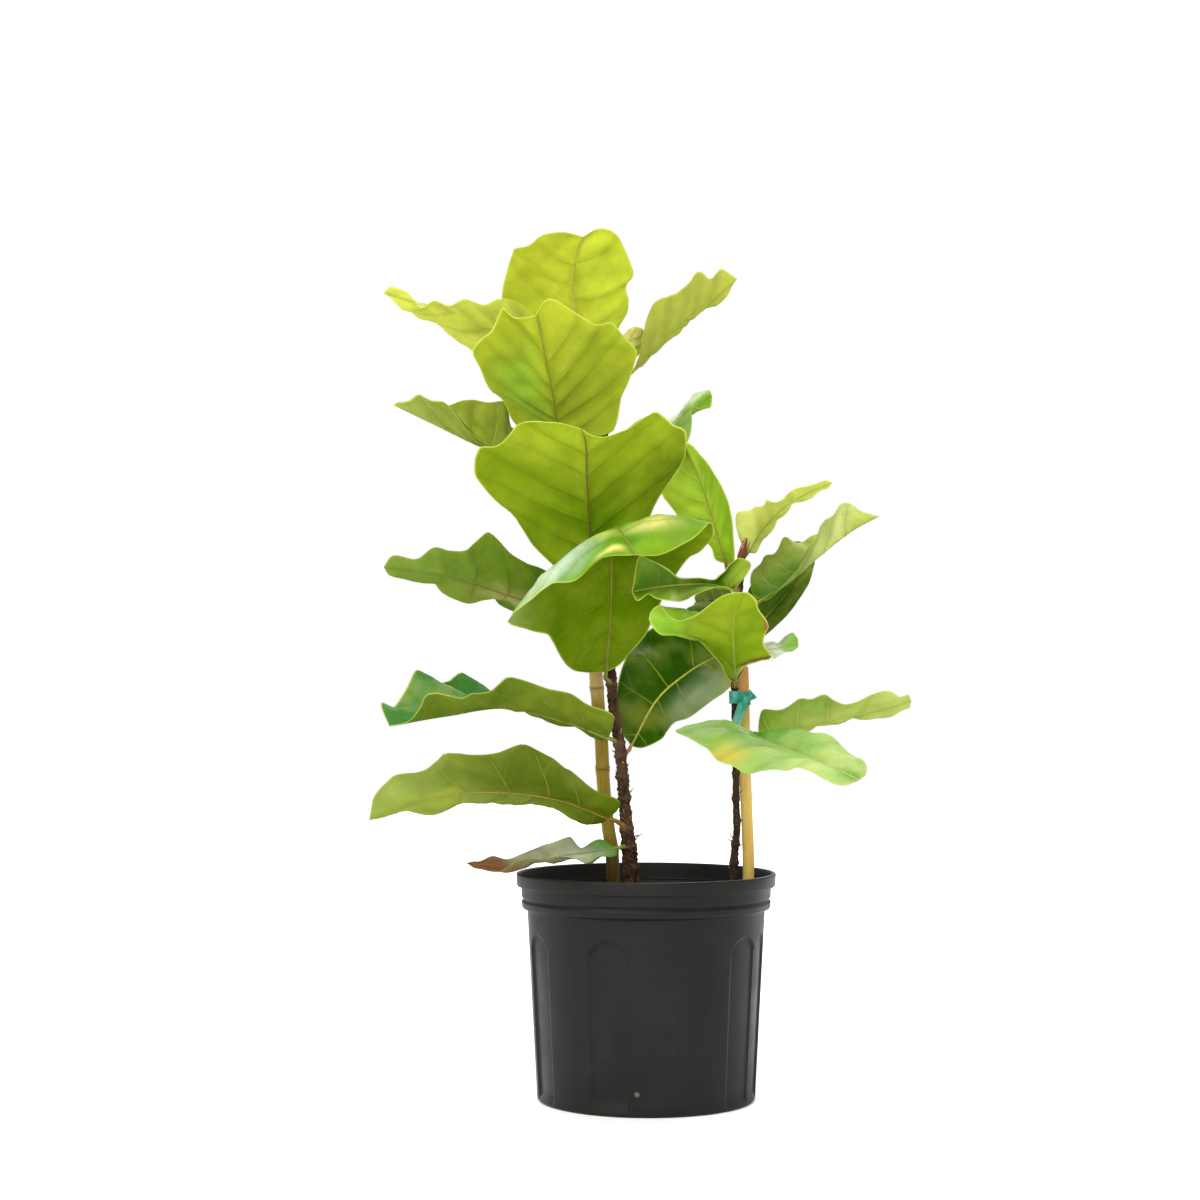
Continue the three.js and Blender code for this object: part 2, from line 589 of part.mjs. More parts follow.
// Turns every face of a closed mesh outwards.
function outward(geometry) {
  const mesh = welded(geometry);
  const position = mesh.getAttribute("position");
  const index = mesh.getIndex().array;
  const corner = (i) => new THREE.Vector3().fromBufferAttribute(position, index[i]);
  let volume = 0;
  for (let i = 0; i < index.length; i += 3) {
    volume += corner(i).dot(corner(i + 1).cross(corner(i + 2)));
  }
  if (volume < 0) mesh.setIndex([...index].reverse());
  return mesh;
}

function soilWall() {
  const facet = Math.cos(Math.PI / POT.columns);
  const low = (potRadius(POT.floor) - POT.wall - POT.flute.depth) * facet - CLEARANCE;
  const high = (potRadius(176) - POT.wall - POT.flute.depth) * facet - CLEARANCE;
  return [[low, POT.floor + CLEARANCE], [high, 176], [high + 2.6, SOIL.level - 4]];
}

function soilSolid(holes) {
  const wall = soilWall();
  const edge = wall[wall.length - 1][0];
  const rings = [];
  for (let k = 1; k < SOIL.rings; k += 1) rings.push([edge * (1 - k / SOIL.rings), SOIL.level]);
  const profile = [[0, wall[0][1]], ...wall, ...rings, [0, SOIL.level]].map(([r, z]) => new THREE.Vector2(r, z));
  const geometry = new THREE.LatheGeometry(profile, SOIL.columns);
  geometry.rotateX(Math.PI / 2);
  const position = geometry.getAttribute("position");
  for (let i = 0; i < position.count; i += 1) {
    const [x, y, z] = [position.getX(i), position.getY(i), position.getZ(i)];
    if (z < SOIL.level - 1) continue;
    const swell = Math.sin(x * 0.11 + 1) * Math.cos(y * 0.13) + 0.6 * Math.sin(x * 0.31 + y * 0.27);
    position.setZ(i, z + swell * SOIL.roughness);
  }
  let soil = solidOf(outward(geometry));
  const draw = draws(7);
  for (let k = 0; k < SOIL.chips; k += 1) {
    const radius = Math.sqrt(draw()) * (edge - 9);
    const turn = draw() * 2 * Math.PI;
    const size = SOIL.chipSize * (0.6 + 0.8 * draw());
    const chip = new THREE.BoxGeometry(size * 1.7, size, size * 0.8);
    chip.rotateX(draw() * 0.8);
    chip.rotateZ(draw() * Math.PI);
    chip.translate(radius * Math.cos(turn), radius * Math.sin(turn), SOIL.level + 2.5 * draw());
    soil = soil.add(solidOf(chip));
  }
  return largest(holes.reduce((body, hole) => body.subtract(hole), soil));
}

// ---- stems, stakes, ties and bud ----------------------------------------------------------------

// The share of a curve's length at which it passes a height.
function shareAt(curve, z) {
  let [low, high] = [0, 1];
  for (let k = 0; k < 30; k += 1) {
    const middle = (low + high) / 2;
    if (curve.getPoint(middle).z < z) low = middle;
    else high = middle;
  }
  return (low + high) / 2;
}

function stemRadius(stem, curve, grow) {
  return (v, angle) => {
    const { x, z } = curve.getPoint(v);
    const taper = v < stem.footHeight
      ? THREE.MathUtils.lerp(stem.foot, stem.middle, v / stem.footHeight)
      : THREE.MathUtils.lerp(stem.middle, stem.top, (v - stem.footHeight) / (1 - stem.footHeight));
    const ring = stem.nodes.reduce((sum, node) => sum + Math.exp(-(((z - node) / 3.2) ** 2)), 0);
    const bark = Math.sin(z * 0.9 + angle * 2 + x) * Math.sin(z * 0.37 + angle * 3);
    const bare = THREE.MathUtils.smoothstep(v, 0.75, 0.95);
    return taper * (1 + 0.28 * Math.min(ring, 1) + stem.roughness * bark * (1 - bare)) + grow;
  };
}

function stemRod(stem, grow = 0) {
  const curve = curveThrough(stem.path);
  return solidOf(outward(rod(curve, stemRadius(stem, curve, grow), stem.sides, stem.steps, grow)));
}

// A small pointed stipule or twig stub that leans out of a stem, its root sunk in the wood.
function spike(curve, z, turn, length, radius, rise) {
  const root = curve.getPoint(shareAt(curve, z));
  const geometry = new THREE.ConeGeometry(radius, length, 5);
  geometry.translate(0, length / 2, 0);
  geometry.rotateX(Math.PI / 2);
  geometry.rotateY(Math.PI / 2 - rise);
  geometry.rotateZ(turn);
  geometry.translate(root.x, root.y, root.z);
  return solidOf(outward(geometry));
}

function mainStem() {
  const curve = curveThrough(STEMS.main.path);
  let stem = stemRod(STEMS.main);
  const spikes = [
    [299, -0.3, 14, 2.4, 0.9], [249, -0.2, 18, 3, 1.0], [260, 0.1, 17, 2.4, 0.25],
    [343, 3.0, 10, 3.4, 0.5], [344, -0.2, 11, 3.4, 0.5], [322, 3.3, 9.5, 2.6, 0.7],
    [285, 2.9, 11, 2.4, 0.8], [275, -0.9, 11, 2.6, 0.8], [330, -1.4, 9.5, 2.4, 0.8],
    [252, 2.4, 13, 2.8, 0.9], [310, 1.6, 10, 2.6, 0.8], [398, 1.9, 9, 2.2, 0.7],
  ];
  for (const given of spikes) stem = stem.add(spike(curve, ...given));
  return stem;
}

function sideStem() {
  const curve = curveThrough(STEMS.side.path);
  let stem = stemRod(STEMS.side);
  const spikes = [[255, 3.1, 9, 2.6, 0.5], [250, 0.1, 9, 2.6, 0.5], [300, 2.8, 6.5, 1.8, 0.7]];
  for (const given of spikes) stem = stem.add(spike(curve, ...given));
  return stem;
}

// A stake's half width: an ellipse with a slight swelling at each node ring of the cane.
function stakeRod(stake, grow = 0) {
  const curve = curveThrough(stake.path);
  const radius = (v, angle) => {
    const [a, b] = [stake.width / 2, stake.thickness / 2];
    const ellipse = (a * b) / Math.hypot(b * Math.cos(angle), a * Math.sin(angle));
    const fromRing = THREE.MathUtils.euclideanModulo(curve.getPoint(v).z + stake.ringSpacing / 2,
      stake.ringSpacing) - stake.ringSpacing / 2;
    return ellipse + stake.ringSwell * Math.exp(-((fromRing / 5) ** 2)) + grow;
  };
  return solidOf(outward(rod(curve, radius, stake.sides, stake.steps, grow)));
}

// A flat tape of a given width laid along a path; face is the direction that its flat side looks to.
function tape(points, width, thickness, face) {
  const curve = new THREE.CatmullRomCurve3(points.map(([x, y, z]) => new THREE.Vector3(x, y, z)));
  const steps = 4;
  const geometry = new THREE.BoxGeometry(width, thickness, 1, 1, 1, steps);
  const position = geometry.getAttribute("position");
  for (let i = 0; i < position.count; i += 1) {
    const v = THREE.MathUtils.clamp(position.getZ(i) + 0.5, 0, 1);
    const centre = curve.getPoint(v);
    const along = curve.getTangent(v);
    const across = new THREE.Vector3().crossVectors(along, face).normalize();
    const out = new THREE.Vector3().crossVectors(across, along);
    centre.addScaledVector(across, position.getX(i)).addScaledVector(out, position.getY(i));
    position.setXYZ(i, centre.x, centre.y, centre.z);
  }
  return solidOf(outward(geometry));
}

// A band of tape round a stem and its stake: the outline of two circles and the tangents round them.
function bandAround(a, radiusA, b, radiusB, z, width, thickness) {
  const outline = (grow) => {
    const turn = Math.atan2(b.y - a.y, b.x - a.x);
    const lean = Math.acos((radiusA - radiusB) / a.distanceTo(b));
    const path = new THREE.Path();
    path.absarc(a.x, a.y, radiusA + grow, turn + lean, turn + 2 * Math.PI - lean, false);
    path.absarc(b.x, b.y, radiusB + grow, turn - lean, turn + lean, false);
    return path.getPoints(5);
  };
  const shape = new THREE.Shape(outline(thickness));
  shape.holes.push(new THREE.Path(outline(0)));
  const geometry = new THREE.ExtrudeGeometry(shape, { depth: width, bevelEnabled: false });
  geometry.translate(0, 0, z - width / 2);
  return solidOf(outward(geometry));
}

function centreAt(given, z) {
  const curve = curveThrough(given.path);
  const point = curve.getPoint(shareAt(curve, z));
  return new THREE.Vector2(point.x, point.y);
}

function rightTie() {
  const { z, width, thickness, stemGrip, stakeGrip, tailWidth } = TIES.right;
  const stem = centreAt(STEMS.side, z);
  const stake = centreAt(STAKES.right, z);
  const band = bandAround(stem, stemGrip, stake, stakeGrip, z, width, thickness);
  const front = new THREE.Vector3(0, -1, 0);
  const knotX = stake.x + 1.5;
  const frontY = stake.y - 7.6;
  const tailY = stem.y - 9;
  const knot = new THREE.SphereGeometry(3.6, 6, 4);
  knot.scale(1.2, 0.8, 1.5);
  knot.translate(knotX, frontY - 1, z - 1);
  const flare = tape([[knotX, frontY - 1, z - 2], [knotX + 4, frontY - 3, z + 1], [knotX + 8, frontY - 3, z + 4]],
    8, thickness, front);
  const tail = tape([[knotX, frontY - 1, z], [knotX - 4, tailY, z - 9], [knotX - 10, tailY, z - 25]],
    tailWidth, thickness, front);
  return band.add(solidOf(outward(knot))).add(flare).add(tail);
}

function leftTie() {
  const { z, width, thickness, stemGrip, stakeGrip, tailWidth } = TIES.left;
  const stake = centreAt(STAKES.left, z);
  const band = bandAround(centreAt(STEMS.main, z), stemGrip, stake, stakeGrip, z, width, thickness);
  const tail = tape([[stake.x - 6, stake.y + 6, z], [stake.x - 12, stake.y + 11, z - 8],
    [stake.x - 14, stake.y + 12, z - 20]], tailWidth, thickness, new THREE.Vector3(-0.6, 0.8, 0));
  return band.add(tail);
}

// The growing tip's sheath: a slim spindle that stands on the end of the side stem.
function budSolid() {
  const radius = (v) => BUD.radius * Math.sin(Math.PI * (0.13 + 0.81 * v)) + 0.3;
  return solidOf(outward(rod(curveThrough(BUD.path), radius, BUD.sides, BUD.steps)));
}

// ---- leaves -------------------------------------------------------------------------------------

// The blade's middle surface. t runs from base to tip along a margin, s from -1 at the left margin
// over 0 at the midrib to 1 at the right one, and lines of equal t follow the lateral veins.
function bladePoint(leaf, t, s) {
  const foot = leaf.rib.getPoint(t ** BLADE.lateralPull);
  const along = leaf.rib.getTangent(t ** BLADE.lateralPull);
  const edge = (s < 0 ? leaf.left : leaf.right).getPoint(t);
  const across = leaf.right.getPoint(t).sub(leaf.left.getPoint(t));
  const up = new THREE.Vector3().crossVectors(across, along).normalize();
  const reach = Math.abs(s);
  const span = edge.distanceTo(foot);
  const [height, count, phase] = leaf.wave;
  const turn = 2 * Math.PI * (count * t + phase) + (s < 0 ? 0 : 2.1);
  const ripple = height * reach ** 2 * Math.sqrt(Math.sin(Math.PI * t)) * Math.sin(turn);
  const bulge = Math.sin(Math.PI * reach) * span;
  return foot.lerp(edge, reach)
    .addScaledVector(up, leaf.arch * bulge + ripple)
    .addScaledVector(along, -BLADE.veinBow * bulge);
}

function bladeSolid(leaf) {
  const { rows, columns, thickness, ridge } = BLADE;
  const width = columns.length;
  const middle = new THREE.PlaneGeometry(1, 1, width - 1, rows);
  const position = middle.getAttribute("position");
  const corners = [];
  for (let i = 0; i <= rows; i += 1) {
    for (let j = 0; j < width; j += 1) {
      const point = bladePoint(leaf, THREE.MathUtils.clamp(i / rows, 1e-6, 1 - 1e-6), columns[j]);
      position.setXYZ(i * width + j, point.x, point.y, point.z);
      corners.push(i === 0 ? 0 : i === rows ? rows * width : i * width + j);
    }
  }
  middle.setIndex([...middle.getIndex().array].map((k) => corners[k]));
  middle.computeVertexNormals();
  const normal = middle.getAttribute("normal");
  const all = [];
  for (const side of [1, -1]) {
    for (let k = 0; k < position.count; k += 1) {
      const [from, i] = [corners[k], Math.floor(k / width)];
      const onRib = side === -1 && columns[k % width] === 0 && i > 0 && i < rows;
      const out = -side * (thickness / 2 + (onRib ? ridge * (1 - (0.8 * i) / rows) : 0));
      all.push(position.getX(from) + normal.getX(from) * out, position.getY(from) + normal.getY(from) * out,
        position.getZ(from) + normal.getZ(from) * out);
    }
  }
  const faces = middle.getIndex().array;
  const count = position.count;
  const index = [];
  for (let k = 0; k < faces.length; k += 3) {
    index.push(faces[k], faces[k + 1], faces[k + 2]);
    index.push(faces[k + 2] + count, faces[k + 1] + count, faces[k] + count);
  }
  for (let i = 0; i < rows; i += 1) {
    for (const [j, flip] of [[0, true], [width - 1, false]]) {
      const [a, b] = [corners[i * width + j], corners[(i + 1) * width + j]];
      if (flip) index.push(a, a + count, b, b, a + count, b + count);
      else index.push(a, b, a + count, b, b + count, a + count);
    }
  }
  const geometry = new THREE.BufferGeometry();
  geometry.setAttribute("position", new THREE.Float32BufferAttribute(all, 3));
  geometry.setIndex(index);
  return solidOf(outward(geometry));
}

// The leaf stalk, from the stem's middle to a little way under the blade.
function petioleSolid(leaf, stemCurve, node) {
  const root = stemCurve.getPoint(shareAt(stemCurve, node));
  const base = leaf.rib.getPoint(0);
  const along = leaf.rib.getTangent(0);
  const bend = base.clone().addScaledVector(along, -0.35 * base.distanceTo(root));
  const end = leaf.rib.getPoint(PETIOLE.sunk);
  const curve = new THREE.CatmullRomCurve3([root, bend, base, end]);
  const radius = (v) => THREE.MathUtils.lerp(PETIOLE.foot, PETIOLE.top, v);
  return solidOf(outward(rod(curve, radius, PETIOLE.sides, PETIOLE.steps)));
}

function leafSolid(given, clearances) {
  const leaf = {
    arch: given.arch,
    wave: given.wave,
    rib: curveThrough(given.rib),
    left: curveThrough([given.rib[0], ...given.left, given.rib.at(-1)]),
    right: curveThrough([given.rib[0], ...given.right, given.rib.at(-1)]),
  };
  const stemCurve = curveThrough(STEMS[given.stem].path);
  const stalk = petioleSolid(leaf, stemCurve, given.node);
  return largest(bladeSolid(leaf).add(stalk).subtract(clearances[given.stem]));
}

// ---- assembly -----------------------------------------------------------------------------------

const plant = new THREE.Group();
const clearances = {
  main: stemRod(STEMS.main, CLEARANCE),
  side: stemRod(STEMS.side, CLEARANCE),
};
const holes = [
  clearances.main, clearances.side, stakeRod(STAKES.left, CLEARANCE), stakeRod(STAKES.right, CLEARANCE),
];
plant.add(named("pot", potSolid(), COLOURS.pot, 0.45));
plant.add(named("soil", soilSolid(holes), COLOURS.soil, 0.95));
plant.add(named("main_stem", mainStem(), COLOURS.mainBark, 0.9));
plant.add(named("side_stem", sideStem(), COLOURS.sideBark, 0.85));
plant.add(named("left_stake", stakeRod(STAKES.left), COLOURS.bamboo, 0.6));
plant.add(named("right_stake", stakeRod(STAKES.right), COLOURS.slat, 0.7));
plant.add(named("right_tie", rightTie(), COLOURS.tie, 0.4));
plant.add(named("left_tie", leftTie(), COLOURS.tie, 0.4));
plant.add(named("side_bud", budSolid(), COLOURS.bud, 0.8));
for (const [name, given] of Object.entries(LEAVES)) {
  const colour = COLOURS[LEAF_COLOURS[name] ?? "olive"];
  plant.add(named(name, leafSolid(given, clearances), colour, 0.5));
}

export default plant;
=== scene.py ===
"""Dresses a potted fiddle leaf fig: waved leathery leaves with raised veins, rough stems, a cane and
a slat, tape ties, potting soil and a moulded nursery pot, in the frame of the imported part.

Sizes and places are millimetres in the tables and formulas, and become metres when a mesh is made.
"""

import logging
import math
from collections.abc import Callable, Sequence
from dataclasses import dataclass, field
from enum import Enum

import bmesh
import bpy
import numpy as np
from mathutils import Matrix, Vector


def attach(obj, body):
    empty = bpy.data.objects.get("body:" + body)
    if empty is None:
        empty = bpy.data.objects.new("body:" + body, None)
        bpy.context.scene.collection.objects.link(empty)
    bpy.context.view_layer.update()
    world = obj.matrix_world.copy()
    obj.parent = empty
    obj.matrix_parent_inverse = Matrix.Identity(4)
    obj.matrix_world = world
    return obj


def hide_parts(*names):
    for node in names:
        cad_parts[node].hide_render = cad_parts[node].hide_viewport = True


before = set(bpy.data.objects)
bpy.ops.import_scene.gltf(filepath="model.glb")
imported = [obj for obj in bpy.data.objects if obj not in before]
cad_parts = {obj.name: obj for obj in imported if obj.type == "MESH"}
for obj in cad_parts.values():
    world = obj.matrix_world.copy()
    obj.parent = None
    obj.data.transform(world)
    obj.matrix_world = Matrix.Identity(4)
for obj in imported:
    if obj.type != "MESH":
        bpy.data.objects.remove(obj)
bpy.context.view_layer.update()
LOG = logging.getLogger("plant")
METRE = 0.001
BODY = "root"


# ---- viewpoint and curves -------------------------------------------------------------------------


@dataclass(frozen=True)
class Eye:
    """The point from which the stems, stakes and leaves were measured, looking along +Y."""

    x: float = -46
    z: float = 408
    distance: float = 2251

    def place(self, measured: Sequence[float]) -> np.ndarray:
        """Moves measured points along their lines of sight to their own depths.

        Formula: the offset from the eye, right and up, grows by depth / distance.

        Args:
            measured: Right, up and depth of each point in turn, read at the pot's axis.

        Returns:
            The points (x, y, z), one a row.
        """
        right, up, depth = np.asarray(measured, float).reshape(-1, 3).T
        spread = 1 + depth / self.distance
        x = self.x + (right - self.x) * spread
        z = self.z + (up - self.z) * spread
        return np.stack([x, depth, z], axis=1)


EYE = Eye()
RIGHT = np.array([1.0, 0, 0])


class Spline:
    """A smooth curve through points: a uniform Catmull-Rom spline."""

    def __init__(self, points: Sequence[Sequence[float]]) -> None:
        """Keeps the points, with one more before the first and one after the last."""
        p = np.asarray(points, float)
        self.points = np.vstack([2 * p[0] - p[1], p, 2 * p[-1] - p[-2]])

    def at(self, u: np.ndarray) -> np.ndarray:
        """Points of the curve.

        Formula: between two points, the cubic whose end slopes are half the chord between the
        neighbours of each end.

        Args:
            u: Shares from 0 at the first point to 1 at the last, evenly many for each span.

        Returns:
            The points, in an array of u's shape with one more axis.
        """
        place = np.clip(np.asarray(u, float), 0, 1) * (len(self.points) - 3)
        first = np.minimum(place.astype(int), len(self.points) - 4)
        w = (place - first)[..., None]
        p0, p1, p2, p3 = (self.points[first + k] for k in range(4))
        m1 = (p2 - p0) / 2
        m2 = (p3 - p1) / 2
        return p1 + w * m1 + w**2 * (3 * p2 - 3 * p1 - 2 * m1 - m2) + w**3 * (2 * p1 - 2 * p2 + m1 + m2)

    def slope(self, u: np.ndarray) -> np.ndarray:
        """Unit tangents of the curve at the shares u."""
        return unit(self.at(np.clip(u + 1e-4, 0, 1)) - self.at(np.clip(u - 1e-4, 0, 1)))

    def share_at(self, z: float) -> float:
        """The share at which a rising curve passes the height z."""
        shares = np.linspace(0, 1, 2001)
        return float(np.interp(z, self.at(shares)[:, 2], shares))


def unit(vectors: np.ndarray) -> np.ndarray:
    """Vectors scaled to length 1; a vector without a length stays."""
    length = np.linalg.norm(vectors, axis=-1, keepdims=True)
    return vectors / np.where(length < 1e-12, 1, length)


def smooth_step(value: np.ndarray, low: float, high: float) -> np.ndarray:
    """0 below low, 1 above high, and 3x^2 - 2x^3 of the share between them."""
    x = np.clip((value - low) / (high - low), 0, 1)
    return x * x * (3 - 2 * x)


def bell(value: np.ndarray, width: np.ndarray) -> np.ndarray:
    """A bump of height 1 at 0: exp(-(value / width)^2)."""
    return np.exp(-((value / width) ** 2))


def waves(points: np.ndarray, size: float, seed: int, layers: int = 3) -> np.ndarray:
    """Smooth noise in space, about -1 to 1, the same on each run.

    Formula: for each layer, the mean of six sines along random directions, with a wave of size
    halved and a strength of 0.55 of the layer before.

    Args:
        points: Points (..., 3).
        size: The first layer's wave length, in the points' unit.
        seed: The seed of the directions and phases.
        layers: How many layers are added up.

    Returns:
        The noise, one value a point.
    """
    draw = np.random.default_rng(seed)
    total = np.zeros(points.shape[:-1])
    for layer in range(layers):
        directions = unit(draw.normal(size=(6, 3))) * draw.uniform(0.7, 1.3, (6, 1))
        phases = draw.uniform(0, 2 * math.pi, 6)
        angles = points @ directions.T * (2 * math.pi * 2**layer / size) + phases
        total += np.sin(angles).sum(-1) / 6 * 1.6 * 0.55**layer
    return total


def turns(count: int) -> np.ndarray:
    """Angles (1, count), evenly round a circle from 0."""
    return np.arange(count)[None] / count * 2 * math.pi


def upright(angle: np.ndarray, z: np.ndarray, radius: float, squeeze: float) -> np.ndarray:
    """Points on a round column, its heights squeezed, on which noise that runs upwards is read."""
    x, y = np.cos(angle) * radius + 0 * z, np.sin(angle) * radius + 0 * z
    return np.stack([x, y, z * squeeze + 0 * angle], axis=-1)


def between(where: np.ndarray, length: np.ndarray, rows: np.ndarray) -> np.ndarray:
    """Rows read at the places where, given the place of each along length."""
    return np.stack([np.interp(where, length, column) for column in rows.T], axis=1)


def lengths(points: np.ndarray) -> np.ndarray:
    """The length along a polyline at each of its points."""
    return np.concatenate([[0], np.cumsum(np.linalg.norm(np.diff(points, axis=0), axis=1))])


def capped(rows: np.ndarray, first: np.ndarray, last: np.ndarray) -> np.ndarray:
    """A grid with one more row at each end, gathered in one point, so that its ends close."""
    shape = (1, *rows.shape[1:])
    return np.concatenate([np.broadcast_to(first, shape), rows, np.broadcast_to(last, shape)])


def doubled(rows: np.ndarray) -> np.ndarray:
    """Values for a capped grid: the first and the last row stand twice."""
    return np.concatenate([rows[:1], rows, rows[-1:]])


# ---- meshes ---------------------------------------------------------------------------------------


def new_object(name: str, data: bpy.types.ID) -> bpy.types.Object:
    """A new object in the scene, at the origin."""
    thing = bpy.data.objects.new(name, data)
    bpy.context.scene.collection.objects.link(thing)
    return thing


class Shell:
    """Grids of points that are gathered into one closed mesh, with values for its materials."""

    def __init__(self) -> None:
        """Starts with no grid."""
        self.points: list[np.ndarray] = []
        self.quads: list[np.ndarray] = []
        self.slots: list[np.ndarray] = []
        self.values: dict[str, list[tuple[int, np.ndarray]]] = {}
        self.count = 0

    def grid(
        self, points: np.ndarray, slot: int = 0, wrap: bool = False, flip: bool = False, **values: np.ndarray
    ) -> None:
        """Adds a grid of quads.

        A quad's normal is the cross product of the step to the next column and the step to the next
        row, or its opposite.

        Args:
            points: Points (rows, columns, 3), in millimetres.
            slot: The number of the material.
            wrap: Joins the last column to the first.
            flip: Turns the faces round.
            **values: Attributes by name, (rows, columns) or (rows, columns, 3 or 4).
        """
        rows, columns = points.shape[:2]
        index = self.count + np.arange(rows * columns).reshape(rows, columns)
        if wrap:
            index = np.hstack([index, index[:, :1]])
        corners = [index[:-1, :-1], index[:-1, 1:], index[1:, 1:], index[1:, :-1]]
        quads = np.stack(corners, axis=-1).reshape(-1, 4)
        self.points.append(points.reshape(-1, 3))
        self.quads.append(quads[:, ::-1] if flip else quads)
        self.slots.append(np.full(len(quads), slot))
        for name, value in values.items():
            flat = np.asarray(value, float).reshape(rows * columns, -1)
            self.values.setdefault(name, []).append((self.count, flat))
        self.count += rows * columns

    def tube(
        self, path: np.ndarray, radius: np.ndarray, side: np.ndarray, sides: int, slot: int = 0,
        **values: np.ndarray,
    ) -> None:
        """Adds a closed tube along a path.

        Formula: ring points lie at the path's point plus radius times (cos a * across + sin a *
        back), where across is side made square to the path, and both ends close on the path.

        Args:
            path: Points (rings, 3).
            radius: Radii (rings,) or (rings, sides).
            side: A direction that the path never follows.
            sides: How many sides the tube has.
            slot: The number of the material.
            **values: Attributes by name, one row a ring.
        """
        along = unit(np.gradient(path, axis=0))
        across = unit(side - (along @ side)[:, None] * along)
        back = np.cross(along, across)
        angle = turns(sides)[..., None]
        around = np.cos(angle) * across[:, None] + np.sin(angle) * back[:, None]
        reach = np.broadcast_to(np.asarray(radius, float).reshape(len(path), -1), (len(path), sides))
        spread = {}
        for name, value in values.items():
            rows = np.asarray(value, float).reshape(len(path), 1, -1)
            spread[name] = np.repeat(doubled(rows), sides, axis=1)
        rings = path[:, None] + reach[..., None] * around
        self.grid(capped(rings, path[0], path[-1]), slot=slot, wrap=True, **spread)

    def build(self, name: str, materials: list, merge: float = 2e-6) -> bpy.types.Object:
        """Makes the object: one mesh of all grids, with coinciding points merged.

        Args:
            name: The object's name.
            materials: The materials, in the order of the slot numbers.
            merge: Points closer than this are merged, in metres.

        Returns:
            The object, linked to the scene, at the origin.
        """
        quads = np.concatenate(self.quads)
        mesh = bpy.data.meshes.new(name)
        mesh.vertices.add(self.count)
        mesh.vertices.foreach_set("co", (np.concatenate(self.points) * METRE).ravel())
        mesh.loops.add(quads.size)
        mesh.loops.foreach_set("vertex_index", quads.ravel())
        mesh.polygons.add(len(quads))
        mesh.polygons.foreach_set("loop_start", np.arange(0, quads.size, 4))
        for material in materials:
            mesh.materials.append(material)
        mesh.polygons.foreach_set("material_index", np.concatenate(self.slots))
        mesh.update(calc_edges=True)
        for label, pieces in self.values.items():
            self._store(mesh, label, pieces)
        self._merge(mesh, merge)
        mesh.polygons.foreach_set("use_smooth", np.ones(len(mesh.polygons), bool))
        return new_object(name, mesh)

    def _store(self, mesh: bpy.types.Mesh, label: str, pieces: list[tuple[int, np.ndarray]]) -> None:
        """Writes one attribute: a number, a vector or a colour a point, and 0 where a grid has none."""
        width = pieces[0][1].shape[1]
        kind, key = {1: ("FLOAT", "value"), 3: ("FLOAT_VECTOR", "vector"), 4: ("FLOAT_COLOR", "color")}[width]
        values = np.zeros((self.count, width), np.float32)
        for start, rows in pieces:
            values[start : start + len(rows)] = rows
        mesh.attributes.new(label, kind, "POINT").data.foreach_set(key, values.ravel())

    def _merge(self, mesh: bpy.types.Mesh, distance: float) -> None:
        """Merges points that coincide, and drops the faces that this leaves without an area."""
        work = bmesh.new()
        work.from_mesh(mesh)
        bmesh.ops.remove_doubles(work, verts=work.verts, dist=distance)
        bmesh.ops.dissolve_degenerate(work, edges=work.edges, dist=distance / 4)
        work.to_mesh(mesh)
        work.free()


def dress(piece: bpy.types.Object, *nodes: str) -> None:
    """Lets a piece ride on the part's body and stand for its nodes, which are hidden."""
    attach(piece, BODY)
    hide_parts(*nodes)
    LOG.info("%s: %d faces", piece.name, len(piece.data.polygons))


# ---- shader nodes ---------------------------------------------------------------------------------

Feed = bpy.types.NodeSocket | float | tuple


def linear(colour: str, alpha: float = 1.0) -> tuple[float, float, float, float]:
    """A screen colour such as "b4c92f" as linear red, green, blue and alpha."""
    parts = [int(colour[k : k + 2], 16) / 255 for k in (0, 2, 4)]
    red, green, blue = (p / 12.92 if p <= 0.04045 else ((p + 0.055) / 1.055) ** 2.4 for p in parts)
    return red, green, blue, alpha


